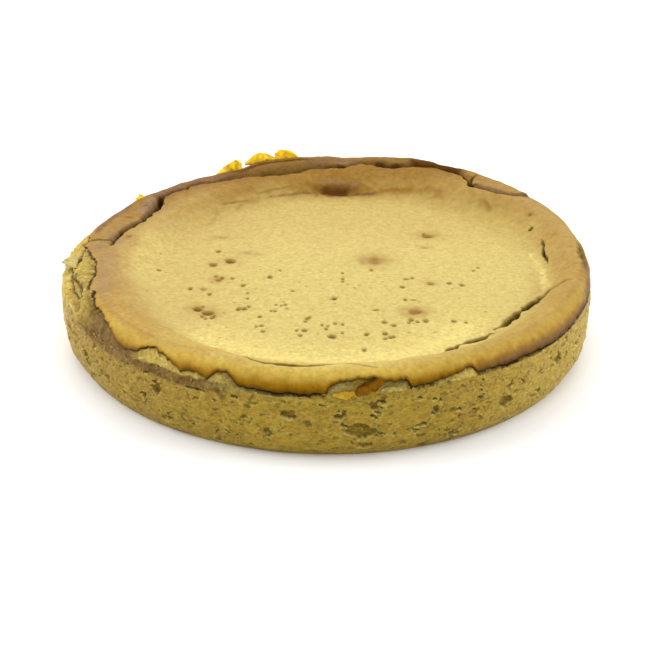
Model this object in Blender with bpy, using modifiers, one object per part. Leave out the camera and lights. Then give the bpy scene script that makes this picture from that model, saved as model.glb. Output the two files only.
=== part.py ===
"""A whole baked pistachio cheesecake, about 27 cm across and 5 cm high, uncut.

The cake is one solid: a profile turned about the upright axis, whose points are then
moved by rules for the sunken top, the rolled rim, the torn lip under it and the
bulging wall. Thin torn skins that stand up from the rim are fused on as wedges.
Metres, +Z up. The origin is the middle of the flat underside, and the front is -Y.
Azimuths are in degrees from the front, positive towards +X.
"""

import itertools
import math

import bpy
import numpy as np

MM = 0.001

# Driving dimensions, in millimetres
base_radius = 128.0
widest_radius = 134.9
wall_flare_height = 5.4  # height over which the foot of the wall curves out
foot_rounding = 1.6
shoulder_height = 32.0  # top of the wall, under the cleft
top_level = 34.5  # height of the flat sunken top
inner_flat_radius = 84.0  # inside it the top has no rim features
lip_recess = 3.4  # how far the cleft under the lip cuts in
least_cleft = 2.0  # height of the cleft where the lip hangs lowest

# How finely the profile is divided, section by section, from the middle of the top to that of the underside
profile_steps = {"flat": 9, "slope": 26, "roll": 10, "cleft": 6, "wall": 12, "foot": 3, "under": 5}
around_steps = 360
faces_wanted = 11000
cake_seed = 27

# Unevenness as (height of the lumps, distance between them)
flat_unevenness = (0.35, 45.0)
roll_unevenness = (0.7, 26.0)
wall_unevenness = (0.5, 22.0)

# Shape of the rim, as (azimuth, value) pairs that are joined smoothly all round
flat_edge_radius = [(0, 110), (45, 112), (90, 113), (125, 110), (150, 101), (178, 94),
                    (210, 92), (240, 97), (270, 103), (310, 105)]
roll_crest_radius = [(0, 126), (60, 127), (90, 128), (118, 127), (136, 118), (152, 122), (166, 121), (180, 114),
                     (197, 111), (212, 108), (228, 106), (243, 103), (256, 99), (265, 103), (278, 116), (310, 122.6)]
roll_crest_height = [(0, 44), (60, 44.5), (90, 45.6), (113, 46), (135, 45.6), (170, 45.6), (185, 45), (200, 44),
                     (212, 42.8), (225, 41.8), (240, 41), (262, 40.8), (270, 42), (285, 43.4), (320, 44)]
outer_crest_radius = [(0, 126), (60, 127), (90, 129.5), (113, 130.5), (130, 132), (160, 132), (172, 130.5),
                      (180, 128), (197, 127.5), (210, 125.5), (230, 125), (262, 124), (284, 122.6), (302, 122.8),
                      (316, 125)]
outer_crest_height = [(0, 44), (60, 44.5), (90, 46), (113, 46.6), (130, 47.2), (148, 47.6), (168, 48), (177, 45.8),
                      (187, 46.6), (197, 46), (205, 43), (215, 41.8), (228, 41.8), (236, 43), (245, 42),
                      (268, 41.8), (284, 42.8), (302, 43.2), (318, 44)]
lip_radius = [(0, 134.8), (90, 135), (150, 134.6), (200, 133), (230, 131), (245, 129.6), (262, 128.4), (285, 127),
              (298, 127.8), (305, 129.6), (311, 132), (316, 134.4), (330, 134.8)]

# The groove between the rolled rim and the outer ridge behind it
groove_radius = [(118, 133), (125, 130), (130, 125), (136, 123), (141, 123.5), (146, 126.5), (162, 127), (172, 122),
                 (185, 118), (200, 117), (214, 114), (222, 111), (227, 113), (234, 113), (242, 108.5), (253, 104),
                 (259, 106), (268, 111), (273, 114), (280, 118)]
groove_depth = [(0, 0), (120, 0), (126, 1.5), (131, 3.2), (138, 3.6), (141.5, 6.5), (146, 3), (156, 3), (165, 5.5),
                (174, 3.5), (180, 4.5), (186, 6), (200, 8), (207, 6), (213, 3.2), (228, 3.6), (235, 5), (238, 7),
                (243, 3.6), (256, 3.2), (266, 3.2), (274, 3), (281, 0), (300, 0)]
groove_width = [(0, 2.2), (126, 1.8), (146, 1.9), (160, 2.2), (174, 2.4), (188, 4), (206, 4), (214, 1.7), (232, 2),
                (238, 3.4), (244, 1.8), (275, 2.0), (300, 2.2)]

# Height of the torn lip where the cap has pulled away from the wall, joined by straight tears.
# Out of sight behind, random tears of the same kind carry on.
lip_tears = [(-112, 39), (-104, 40), (-96, 39.4), (-91, 40.8), (-84, 40), (-77, 41), (-70, 40.2), (-63, 41.4),
             (-57, 40.6), (-52, 40.8), (-48.5, 39.6), (-46, 37), (-43.5, 36.4), (-41, 37.8), (-37.8, 40.9),
             (-36.5, 42.4), (-34.6, 41), (-31.4, 38.8), (-29, 36.4), (-25.5, 37.6), (-23.5, 35.6),
             (-21.4, 39.4), (-19.5, 40), (-17, 35), (-13, 34.2), (-5, 34), (0, 34.2), (1, 38), (2.5, 39.4),
             (6.5, 40.8), (9.4, 41.2), (11, 39.4), (15.5, 39.2), (16.5, 36), (20, 36), (26, 38.8), (29.5, 39.6),
             (31, 36.4), (40, 35.4), (55, 35.2), (64, 36.8), (74, 37), (84, 36.4), (96, 38.6), (104, 35.6)]
hidden_tear_spacing = 4.5
hidden_tear_heights = (34.6, 40.0)

# Cracks in the top, each a path of (x, y) with a half width and a depth
cracks = [([(121, -16), (111, -25), (105, -35), (95, -50), (80, -71), (76, -80), (62, -89), (51, -97)], 1.7, 4.2),
          ([(114.5, 37), (115, 28), (114, 18)], 1.0, 2.0),
          ([(-36, -102), (-20, -107), (-5, -109.5), (8, -107), (25, -109.5)], 1.2, 1.8)]

# The browned hollow under the fold at the back
fold_hollow = {"middle": (8, 99), "half_length": 15, "half_width": 4, "depth": 2.6}

# Shallow hollows in the wall, as (azimuth, height, half width, half height, depth), and random ones behind
wall_pits = [(7, 15.6, 7.5, 3.8, 1.9), (-11, 13, 3, 2, 1.2), (-35, 23, 3, 2, 1.2), (-7, 22.6, 4, 2.2, 1.4),
             (18, 14, 4.5, 2.6, 1.2), (25, 12.5, 3, 2.6, 1.2), (38, 15, 4, 3, 1.3), (7, 6, 3.5, 3, 1.2)]
hidden_pits = 26

# Torn skins that stand up or out from the rim: first and last azimuth, heights of the jagged edge above the
# foot, radius and height of the foot, how far the edge leans out, and thickness
flakes = {
    "film_left": (203, 210, (3.0, 7.6, 5.8, 3.4, 1.4), 127.0, 41.2, 1.0, 1.4),
    "film_middle": (194, 201.6, (5.2, 6.8, 7.1, 5.8, 3.4, 1.8), 128.2, 43.7, 0.8, 1.4),
    "film_right": (186, 194, (0.8, 2.0, 4.0, 6.8, 7.4, 6.0, 4.5), 128.5, 44.0, 1.0, 1.4),
    "tip": (233, 237, (1.5, 5.5, 2.0), 124.5, 42.0, 0.5, 1.4),
    "left_spur": (-84, -79, (3.4, 5.4, 3.4), 129.2, 34.6, 3.6, 2.0),
    "caramel_flap": (4.6, 11.0, (2.0, 5.6, 8.4, 9.4, 8.6, 3.0), 134.3, 31.4, -1.4, 1.8),
}


def smooth_step(value, low, high):
    """Rises from 0 at low to 1 at high with level ends."""
    share = np.clip((value - low) / (high - low), 0, 1)
    return share * share * (3 - 2 * share)


def around(azimuth, pairs, straight=False):
    """Joins (azimuth, value) pairs into one closed curve round the cake."""
    angles, values = np.array(sorted((a % 360, v) for a, v in pairs), float).T
    angles = np.concatenate((angles[-1:] - 360, angles, angles[:1] + 360))
    values = np.concatenate((values[-1:], values, values[:1]))
    azimuth = np.asarray(azimuth) % 360
    left = np.clip(np.searchsorted(angles, azimuth, side="right") - 1, 0, len(angles) - 2)
    share = (azimuth - angles[left]) / (angles[left + 1] - angles[left])
    if not straight:
        share = share * share * (3 - 2 * share)
    return values[left] * (1 - share) + values[left + 1] * share


def lumps(x, y, z, unevenness, seed):
    """A smooth random field with lumps of the stated height and spacing."""
    amount, spacing = unevenness
    table = np.random.default_rng(seed).uniform(-amount, amount, (24, 24, 24))
    cell = np.stack(np.broadcast_arrays(x, y, z)) / spacing
    low = np.floor(cell).astype(int)
    share = smooth_step(cell - low, 0, 1)
    total = np.zeros(cell.shape[1:])
    for corner in itertools.product((0, 1), repeat=3):
        step = np.array(corner)[:, None]
        weight = np.prod(np.where(step == 1, share, 1 - share), axis=0)
        total += weight * table[tuple((low + step) % 24)]
    return total


def distance_to_path(x, y, path):
    """Distance of each point from a path, and how far along it the nearest point lies, 0 to 1."""
    best = np.full(np.shape(x), np.inf)
    along = np.zeros(np.shape(x))
    steps = [math.dist(a, b) for a, b in zip(path, path[1:])]
    passed = 0.0
    for start, end, step in zip(path, path[1:], steps):
        dx, dy = end[0] - start[0], end[1] - start[1]
        share = np.clip(((x - start[0]) * dx + (y - start[1]) * dy) / step**2, 0, 1)
        away = np.hypot(x - start[0] - share * dx, y - start[1] - share * dy)
        nearer = away < best
        best = np.where(nearer, away, best)
        along = np.where(nearer, (passed + share * step) / sum(steps), along)
        passed += step
    return best, along


def all_lip_tears():
    """The named tears of the lip, and random ones where it is out of sight."""
    draw = np.random.default_rng(cake_seed)
    pairs = list(lip_tears)
    azimuth = lip_tears[-1][0] + hidden_tear_spacing
    while azimuth < lip_tears[0][0] + 360 - hidden_tear_spacing:
        pairs.append((azimuth, draw.uniform(*hidden_tear_heights)))
        azimuth += hidden_tear_spacing * draw.uniform(0.5, 1.5)
    return pairs


def all_wall_pits():
    """The named pits of the wall, and random ones where it is out of sight."""
    draw = np.random.default_rng(cake_seed + 1)
    pits = list(wall_pits)
    for azimuth in np.linspace(55, 305, hidden_pits):
        pits.append((azimuth + draw.uniform(-4, 4), draw.uniform(6, 25), draw.uniform(2.5, 6),
                     draw.uniform(1.8, 3.4), draw.uniform(0.8, 1.6)))
    return pits


def wall_radius(z):
    """The wall leans out from the foot and is straight from about mid height."""
    return widest_radius - (widest_radius - base_radius) * np.exp(-z / wall_flare_height)


def wall_relief(azimuth, z):
    """Broad dents and the larger pits of the wall, as a change of its radius."""
    change = lumps(np.radians(azimuth) * widest_radius, z, 0, wall_unevenness, cake_seed + 4)
    for pit_azimuth, pit_z, half_width, half_height, depth in all_wall_pits():
        arc = np.radians((azimuth - pit_azimuth + 180) % 360 - 180) * widest_radius
        off = (arc / half_width) ** 2 + ((z - pit_z) / half_height) ** 2
        change = change - depth * np.exp(-(off**1.5))
    return change


def top_height(radius, azimuth):
    """Height of the top skin: the sunken flat, the slope up to the roll, the groove and the outer ridge."""
    x = radius * np.sin(np.radians(azimuth))
    y = -radius * np.cos(np.radians(azimuth))
    climb = smooth_step(radius, around(azimuth, flat_edge_radius) - 4, around(azimuth, roll_crest_radius))
    roll = around(azimuth, roll_crest_height) + lumps(x, y, 0, roll_unevenness, cake_seed + 2)
    flat = top_level + lumps(x, y, 0, flat_unevenness, cake_seed + 3)
    height = flat + (roll - flat) * climb

    ridge_start = around(azimuth, groove_radius) - 1
    ridge_top = np.maximum(around(azimuth, outer_crest_radius), ridge_start + 3)
    ridge = smooth_step(radius, ridge_start, ridge_top)
    height += (around(azimuth, outer_crest_height) - around(azimuth, roll_crest_height)) * ridge
    off_groove = (radius - around(azimuth, groove_radius)) / around(azimuth, groove_width)
    height -= around(azimuth, groove_depth) * np.exp(-off_groove**2)

    fold_x, fold_y = fold_hollow["middle"]
    off_fold = ((x - fold_x) / fold_hollow["half_length"]) ** 2 + ((y - fold_y) / fold_hollow["half_width"]) ** 2
    height -= fold_hollow["depth"] * np.exp(-off_fold)
    for path, half_width, depth in cracks:
        away, along = distance_to_path(x, y, path)
        taper = np.sin(np.pi * np.clip(along, 0.04, 0.96)) ** 0.5
        height -= depth * taper * np.exp(-((away / half_width) ** 2))
    return height


def top_points(share, azimuth, inner, outer):
    """The top skin between two radii."""
    radius = inner + share * (outer - inner)
    return radius, top_height(radius, azimuth)


def lip_edge(azimuth):
    """Radius and height of the torn edge of the cap."""
    height = np.maximum(around(azimuth, all_lip_tears(), straight=True), shoulder_height + least_cleft)
    ripple = 0.5 * np.sin(np.radians(7 * azimuth))
    return around(azimuth, lip_radius) + ripple - 0.12 * (height - top_level), height


def shoulder_edge(azimuth):
    """Radius and height of the top of the wall, under the cleft."""
    height = shoulder_height + 0.5 * np.sin(np.radians(5 * azimuth))
    return wall_radius(height), height


def roll_points(share, azimuth):
    """The roll turns down from its crest to the lip as a quarter of an oval."""
    crest_r = around(azimuth, outer_crest_radius)
    crest_z = top_height(crest_r, azimuth)
    lip_r, lip_z = lip_edge(azimuth)
    turn = share * np.pi / 2
    return crest_r + (lip_r - crest_r) * np.sin(turn), lip_z + (crest_z - lip_z) * np.cos(turn) ** 0.9


def cleft_points(share, azimuth):
    """In under the lip, down, and out again to the shoulder of the wall.

    The cleft is deep where it is narrow, and a torn inner skin fills half of it where the lip is lifted.
    """
    lip_r, lip_z = lip_edge(azimuth)
    shoulder_r, shoulder_z = shoulder_edge(azimuth)
    lifted = smooth_step(lip_z - shoulder_z, 2, 5)
    deep_r, deep_z = lip_r - lip_recess * (1 - 0.5 * lifted), lip_z - 0.9
    skin_r = (deep_r + 0.5) * (1 - lifted) + (0.4 * deep_r + 0.6 * shoulder_r) * lifted
    skin_z = (shoulder_z + 0.6) * (1 - lifted) + 0.5 * (deep_z + shoulder_z) * lifted
    radii = np.stack([lip_r, (lip_r + deep_r) / 2, deep_r, skin_r, shoulder_r - 1.2 + 0.4 * lifted, shoulder_r])
    heights = np.stack([lip_z, lip_z - 0.5, deep_z, skin_z, shoulder_z + 0.3, shoulder_z - 0.6])
    steps = np.array([0, 0.2, 0.4, 0.65, 0.85, 1.0])
    left = np.clip(np.searchsorted(steps, share, side="right") - 1, 0, len(steps) - 2)
    part = (share - steps[left]) / (steps[left + 1] - steps[left])
    which = np.arange(len(azimuth))
    radius = radii[left, which] * (1 - part) + radii[left + 1, which] * part
    return radius, heights[left, which] * (1 - part) + heights[left + 1, which] * part


def wall_points(share, azimuth):
    """The bulging wall, with broad dents and pits that fade out at its two edges."""
    top = shoulder_edge(azimuth)[1] - 0.6
    height = top * (1 - share) + foot_rounding * share
    fade = np.sin(np.pi * np.clip(share, 0, 1)) ** 0.5
    return wall_radius(height) + wall_relief(azimuth, height) * fade, height


def foot_points(share, azimuth):
    """The rounded bottom edge."""
    turn = share * np.pi / 2
    radius = wall_radius(foot_rounding) - foot_rounding * (1 - np.cos(turn))
    return radius, foot_rounding * (1 - np.sin(turn))


def under_points(share, azimuth):
    """The flat underside."""
    return (wall_radius(foot_rounding) - foot_rounding) * (1 - share), 0 * share


def placed(station, azimuth):
    """Radius and height of the profile's point `station` at each azimuth.

    The whole part of station is the section and the rest is the way along it.
    """
    section = np.minimum(np.floor(station + 1e-6), len(profile_steps) - 1)
    share = np.clip(station - section, 0, 1)
    sections = [
        top_points(share, azimuth, 0, inner_flat_radius),
        top_points(share, azimuth, inner_flat_radius, around(azimuth, outer_crest_radius)),
        roll_points(share, azimuth),
        cleft_points(share, azimuth),
        wall_points(share, azimuth),
        foot_points(share, azimuth),
        under_points(share, azimuth),
    ]
    chosen = section.astype(int)
    return np.choose(chosen, [radius for radius, _ in sections]), np.choose(chosen, [z for _, z in sections])


def turned_profile(collection):
    """The section of the cake at +X, from the middle of the top down the outside to the axis, turned full circle."""
    stations = []
    for number, count in enumerate(profile_steps.values()):
        stations += [number + step / count for step in range(count)]
    stations = np.array(stations + [float(len(profile_steps))])
    radius, height = placed(stations, np.zeros(len(stations)))
    radius[0] = radius[-1] = 0
    mesh = bpy.data.meshes.new("cheesecake")
    points = np.stack((radius, 0 * radius, height), axis=1) * MM
    mesh.from_pydata(points.tolist(), [(i, i + 1) for i in range(len(points) - 1)], [])
    mesh.attributes.new("station", "FLOAT", "POINT").data.foreach_set("value", stations)
    cake = bpy.data.objects.new("cheesecake", mesh)
    collection.objects.link(cake)
    turn = cake.modifiers.new("turn", "SCREW")
    turn.axis = "Z"
    turn.angle = math.tau
    turn.steps = turn.render_steps = around_steps
    turn.use_merge_vertices = True
    turn.merge_threshold = 1e-5
    apply_modifiers(cake)
    return cake


def apply_modifiers(obj):
    """Makes the object's mesh what its modifiers make of it."""
    graph = bpy.context.evaluated_depsgraph_get()
    shaped = bpy.data.meshes.new_from_object(obj.evaluated_get(graph))
    obj.modifiers.clear()
    obj.data = shaped


def shape_cake(cake):
    """Moves each point of the turned profile to its place for its azimuth."""
    mesh = cake.data
    count = len(mesh.vertices)
    points = np.empty(count * 3, np.float32)
    mesh.vertices.foreach_get("co", points)
    points = points.reshape(-1, 3).astype(float)
    stations = np.empty(count, np.float32)
    mesh.attributes["station"].data.foreach_get("value", stations)
    azimuth = np.degrees(np.arctan2(points[:, 0], -points[:, 1]))
    radius, height = placed(stations.astype(float), azimuth)
    on_axis = np.hypot(points[:, 0], points[:, 1]) < 1e-6
    radius[on_axis] = 0
    turned = np.radians(azimuth)
    points = np.stack((radius * np.sin(turned), -radius * np.cos(turned), height), axis=1) * MM
    mesh.vertices.foreach_set("co", points.ravel())
    mesh.update()


def thin_out(cake):
    """Keeps the faces where the form bends, and the underside level."""
    cake.data.calc_loop_triangles()
    thin = cake.modifiers.new("thin", "DECIMATE")
    thin.ratio = faces_wanted / len(cake.data.loop_triangles)
    apply_modifiers(cake)
    for vertex in cake.data.vertices:
        if vertex.co.z < 0.2 * MM:
            vertex.co.z = 0


def add_flake(name, collection, start, end, tips, foot_radius, foot_height, lean, thickness):
    """A torn skin along the rim: a curved strip from its foot up to a jagged edge, given its thickness."""
    points, faces = [], []
    levels = (0.0, 0.5, 1.0)
    for azimuth, tip in zip(np.radians(np.linspace(start, end, len(tips))), tips):
        for share in levels:
            radius = (foot_radius + lean * share) * MM
            points.append((radius * math.sin(azimuth), -radius * math.cos(azimuth), (foot_height + tip * share) * MM))
    for column in range(len(tips) - 1):
        for row in range(len(levels) - 1):
            a = len(levels) * column + row
            faces.append((a, a + len(levels), a + len(levels) + 1, a + 1))
    mesh = bpy.data.meshes.new(name)
    mesh.from_pydata(points, [], faces)
    flake = bpy.data.objects.new(name, mesh)
    flake.hide_render = True
    flake.display_type = "WIRE"
    collection.objects.link(flake)
    wall = flake.modifiers.new("wall", "SOLIDIFY")
    wall.thickness = thickness * MM
    wall.offset = 0
    apply_modifiers(flake)


def join_flakes(cake, collection):
    """One union takes in all the flakes, which are then removed."""
    join = cake.modifiers.new("join", "BOOLEAN")
    join.operation = "UNION"
    join.operand_type = "COLLECTION"
    join.collection = collection
    join.solver = "EXACT"
    apply_modifiers(cake)
    for flake in list(collection.objects):
        bpy.data.objects.remove(flake, do_unlink=True)


def baked_crust():
    """Golden baked crust, matte."""
    material = bpy.data.materials.new("baked_crust")
    material.use_nodes = True
    shader = material.node_tree.nodes["Principled BSDF"]
    shader.inputs["Base Color"].default_value = (0.62, 0.43, 0.12, 1)
    shader.inputs["Roughness"].default_value = 0.6
    shader.inputs["Metallic"].default_value = 0
    return material


def main():
    for obj in list(bpy.data.objects):
        bpy.data.objects.remove(obj, do_unlink=True)
    parts = bpy.data.collections.new("pistachio_cheesecake")
    cutters = bpy.data.collections.new("flakes")
    for collection in (parts, cutters):
        bpy.context.scene.collection.children.link(collection)
    cake = turned_profile(parts)
    shape_cake(cake)
    thin_out(cake)
    for name, shape in flakes.items():
        add_flake(name, cutters, *shape)
    join_flakes(cake, cutters)
    cake.data.materials.clear()
    cake.data.materials.append(baked_crust())
    cake.data.shade_smooth()
    cake.data.set_sharp_from_angle(angle=math.radians(50))


main()
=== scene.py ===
import itertools
import math

import bpy
import numpy as np
from mathutils import Matrix, Vector


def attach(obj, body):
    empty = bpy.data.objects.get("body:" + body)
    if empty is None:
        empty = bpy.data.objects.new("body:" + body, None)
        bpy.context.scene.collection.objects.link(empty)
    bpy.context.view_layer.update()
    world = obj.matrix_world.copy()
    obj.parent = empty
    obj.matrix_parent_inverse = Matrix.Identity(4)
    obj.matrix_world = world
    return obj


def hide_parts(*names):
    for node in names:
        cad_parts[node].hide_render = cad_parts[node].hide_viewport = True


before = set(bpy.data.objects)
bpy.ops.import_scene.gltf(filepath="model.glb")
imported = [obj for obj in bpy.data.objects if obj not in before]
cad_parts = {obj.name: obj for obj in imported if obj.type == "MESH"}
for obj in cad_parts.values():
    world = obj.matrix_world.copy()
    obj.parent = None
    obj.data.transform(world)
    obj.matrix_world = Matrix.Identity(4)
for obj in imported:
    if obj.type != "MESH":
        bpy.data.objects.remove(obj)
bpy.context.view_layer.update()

# A whole baked pistachio cheesecake: a pale sunken top, a rolled golden rim with a torn lip, a porous
# olive wall under it, and thin torn skins that stand up from the rim.
# Lengths in the tables are millimetres, azimuths are degrees from the front, positive towards +X.
mm = 0.001

# The form, the same all through this script
form = {
    "baseRadius": 128.0,
    "widestRadius": 134.9,
    "flareHeight": 5.4,
    "footRounding": 1.6,
    "topLevel": 34.5,
    "innerFlatRadius": 84.0,
    "flatEdgeRadius": [(0, 110), (45, 112), (90, 113), (125, 110), (150, 101), (178, 94),
                       (210, 92), (240, 97), (270, 101), (290, 102), (310, 105)],
    "slopeSpread": [(0, 4), (130, 4), (170, 6), (200, 8), (225, 10), (250, 18), (290, 20), (312, 10),
                    (335, 4)],
    "rollCrestRadius": [(0, 126), (60, 127), (90, 128), (118, 127), (136, 118), (152, 122), (166, 121),
                        (180, 114), (197, 111), (212, 108), (228, 106), (243, 103), (256, 99), (265, 103),
                        (276, 110), (288, 113), (300, 120), (315, 124)],
    "rollCrestHeight": [(0, 44), (60, 44.5), (90, 45.6), (113, 46), (135, 45.6), (170, 45.6), (185, 45),
                        (200, 44), (212, 42.8), (225, 41.8), (240, 41), (262, 40.8), (270, 42),
                        (285, 42.8), (320, 44)],
    "outerCrestRadius": [(0, 126), (60, 127), (90, 129.5), (113, 130.5), (130, 132), (160, 132),
                         (172, 130.5), (180, 128), (197, 127.5), (210, 125.5), (230, 125), (257, 123),
                         (265, 119), (272, 114.5), (280, 113.6), (290, 117), (300, 122), (316, 125)],
    "outerCrestHeight": [(0, 44), (60, 44.5), (90, 46), (113, 46.6), (130, 47.2), (148, 47.6), (168, 48),
                         (177, 45.8), (187, 46.6), (197, 46), (205, 43), (215, 41.8), (228, 41.8),
                         (236, 43), (245, 42), (268, 41.8), (284, 42.8), (302, 43.2), (318, 44)],
    "lipRadius": [(0, 134.8), (90, 135), (150, 134.6), (200, 133), (230, 131), (245, 129.8), (260, 128.6),
                  (266, 127.5), (270, 124.6), (273, 122.4), (274.5, 118.8), (276.5, 117.8),
                  (279.6, 119.8), (283, 119.6), (287.4, 123.8), (291.5, 127.4), (295.5, 126.8),
                  (302.7, 129), (307, 131.6), (312, 134), (319, 134.6)],
    "grooveRadius": [(118, 133), (122.7, 131.7), (125.5, 125.2), (129.8, 121.8), (135, 119.3),
                     (137.5, 118), (140.9, 124), (143.5, 128), (147, 130), (151, 130.5), (156, 127.6),
                     (162, 122), (165.4, 122), (168, 124.2), (171, 123.2), (173, 120), (175.5, 115.2),
                     (179, 116), (184.5, 115.6), (189, 113.4), (198, 114.4), (205, 117.4), (210, 116),
                     (214, 115.8), (217.5, 118.8), (220.5, 119.3), (222.6, 117.2), (224.7, 118.8),
                     (226.7, 120.3), (229.6, 119), (231.5, 118.2), (233.6, 115.2), (236.9, 112.4),
                     (239.2, 111.5), (242.5, 109.7), (246.3, 108.4), (249.6, 109.7), (252.8, 111.3),
                     (257.4, 112), (261.4, 112.5), (268, 113)],
    "grooveDepth": [(0, 0), (119, 0), (123, 0.5), (126, 1.6), (131, 2), (137, 2.6), (139, 3.4),
                    (141.5, 2.6), (146, 2.5), (151, 1.5), (156, 3), (162, 4.5), (165, 6), (168, 4.5),
                    (171, 4), (175, 4.5), (179, 5), (184, 5.5), (188, 6.5), (200, 7.5), (206, 6.5),
                    (210, 5), (214, 4.5), (222, 4), (229, 4.5), (232, 6.5), (236, 7.5), (240, 5.5),
                    (246, 4.5), (256, 4), (260, 3.6), (264, 2), (266, 0), (300, 0)],
    "grooveWidth": [(0, 1.5), (131, 1.1), (141, 1.0), (151, 1.4), (158, 2), (165, 2.4), (171, 1.6),
                    (176, 1.8), (184, 2.6), (190, 3.8), (204, 3.8), (209, 2.2), (213, 1.4), (222, 1.1),
                    (230, 1.1), (233, 2.6), (237, 2.6), (240, 1.6), (246, 1.2), (256, 1.1), (300, 1.1)],
    "lipTears": [(-112, 39), (-104, 40), (-96, 40.4), (-91, 41.2), (-84, 41), (-77, 41.4), (-70, 41),
                 (-63, 41.6), (-57, 41), (-52, 41), (-48.5, 39.6), (-46, 37), (-43.5, 36.4), (-41, 37.8),
                 (-37.8, 40.9), (-36.5, 42.2), (-34.6, 41), (-31.4, 38.8), (-29, 36.4), (-25.5, 37.6),
                 (-23.5, 35.6), (-21.4, 39.4), (-19.5, 40), (-17, 35), (-13, 34.2), (-5, 34), (0, 34.2),
                 (1, 38), (2.5, 39.4), (6.5, 40.8), (9.4, 41.2), (11, 39.4), (15.5, 39.2), (16.5, 36),
                 (20, 36), (26, 38.8), (29.5, 39.6), (31, 36.4), (40, 35.4), (55, 35.2), (64, 36.8),
                 (74, 37), (84, 36.4), (96, 38.6), (104, 35.6)],
    "lipLow": [(0, 33.4), (1.5, 34), (16, 34.2), (20, 35), (31, 34.8), (64, 34.8), (96, 35.2), (110, 34),
               (180, 34), (245, 34), (256, 38), (296, 38.4), (306, 38), (316, 35.6), (330, 35),
               (338, 34.4), (343, 33.6)],
    "hiddenTearSpacing": 4.5,
    "hiddenTearHeights": (34.6, 40.0),
    "shoulderHeight": [(-180, 32), (-110, 33), (-102, 33.4), (-88, 34.2), (-78, 36.4), (-66, 37.2),
                       (-61, 33), (-56, 29.6), (-22, 29.6), (-15, 32), (0, 32.4), (4, 31.2), (11, 31.2),
                       (16, 34.2), (28, 34.4), (34, 34), (60, 33.8), (66, 35.2), (92, 34.8), (100, 34),
                       (108, 33)],
}
seed = 27
# how evenly thinning spreads the triangles, and how deep the finest bumps are in metres
evenness = 2e-7
bumpDepth = 0.001


def smoothStep(value, low, high):
    # rises from 0 at low to 1 at high with level ends
    share = np.clip((value - low) / (high - low), 0, 1)
    return share * share * (3 - 2 * share)


def around(azimuth, pairs, straight=False):
    # joins (azimuth, value) pairs into one closed curve round the cake
    angles, values = np.array(sorted((a % 360, v) for a, v in pairs), float).T
    angles = np.concatenate((angles[-1:] - 360, angles, angles[:1] + 360))
    values = np.concatenate((values[-1:], values, values[:1]))
    azimuth = np.asarray(azimuth) % 360
    left = np.clip(np.searchsorted(angles, azimuth, side="right") - 1, 0, len(angles) - 2)
    share = (azimuth - angles[left]) / (angles[left + 1] - angles[left])
    if not straight:
        share = share * share * (3 - 2 * share)
    return values[left] * (1 - share) + values[left + 1] * share


def lumps(x, y, z, amount, spacing, fieldSeed):
    # a smooth random field between -amount and amount, with lumps about one spacing apart
    table = np.random.default_rng(fieldSeed).uniform(-amount, amount, (32, 32, 32))
    x, y, z = np.broadcast_arrays(x, y, z)
    total = np.zeros(x.shape)
    lows, shares = [], []
    for value in (x, y, z):
        cell = value / spacing
        low = np.floor(cell).astype(int)
        lows.append(low)
        shares.append(smoothStep(cell - low, 0, 1))
    for corner in itertools.product((0, 1), repeat=3):
        weight = 1.0
        for step, share in zip(corner, shares):
            weight = weight * (share if step else 1 - share)
        total += weight * table[tuple((low + step) % 32 for low, step in zip(lows, corner))]
    return total


def ragged(azimuth, spacing, amount, fieldSeed):
    # a zigzag round the cake with a random corner about every spacing degrees
    draw = np.random.default_rng(fieldSeed)
    count = round(360 / spacing)
    corners = (np.arange(count) + draw.uniform(-0.35, 0.35, count)) * 360 / count
    return around(azimuth, list(zip(corners, draw.uniform(-amount, amount, count))), straight=True)


def distanceToPath(x, y, path):
    # distance of each point from a path, and how far along it the nearest point lies, 0 to 1
    best = np.full(np.shape(x), np.inf)
    along = np.zeros(np.shape(x))
    steps = [math.dist(a, b) for a, b in zip(path, path[1:])]
    passed = 0.0
    for start, end, step in zip(path, path[1:], steps):
        dx, dy = end[0] - start[0], end[1] - start[1]
        share = np.clip(((x - start[0]) * dx + (y - start[1]) * dy) / step**2, 0, 1)
        away = np.hypot(x - start[0] - share * dx, y - start[1] - share * dy)
        nearer = away < best
        best = np.where(nearer, away, best)
        along = np.where(nearer, (passed + share * step) / sum(steps), along)
        passed += step
    return best, along


def apart(azimuth, middle):
    # signed angle from the middle, -180 to 180
    return (azimuth - middle + 180) % 360 - 180


def window(azimuth, start, end, soft=1.5):
    # 1 between two azimuths, fading out over soft degrees
    middle, half = (start + end) / 2, (end - start) / 2
    return 1 - smoothStep(np.abs(apart(azimuth, middle)), half - soft, half + soft)


def lipTears():
    # the named tears of the lip, and random ones where it is out of sight
    draw = np.random.default_rng(seed)
    pairs = list(form["lipTears"])
    azimuth = form["lipTears"][-1][0] + form["hiddenTearSpacing"]
    while azimuth < form["lipTears"][0][0] + 360 - form["hiddenTearSpacing"]:
        pairs.append((azimuth, draw.uniform(*form["hiddenTearHeights"])))
        azimuth += form["hiddenTearSpacing"] * draw.uniform(0.5, 1.5)
    return pairs


def wallRadius(z):
    # the wall leans out from the foot and is straight from about mid height
    lean = form["widestRadius"] - form["baseRadius"]
    return form["widestRadius"] - lean * np.exp(-z / form["flareHeight"])


def shoulderEdge(azimuth):
    # radius and height of the top of the wall, under the torn lip
    height = around(azimuth, form["shoulderHeight"]) + ragged(azimuth, 2.2, 0.5, seed + 41)
    return wallRadius(height) - 0.3, height


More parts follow.
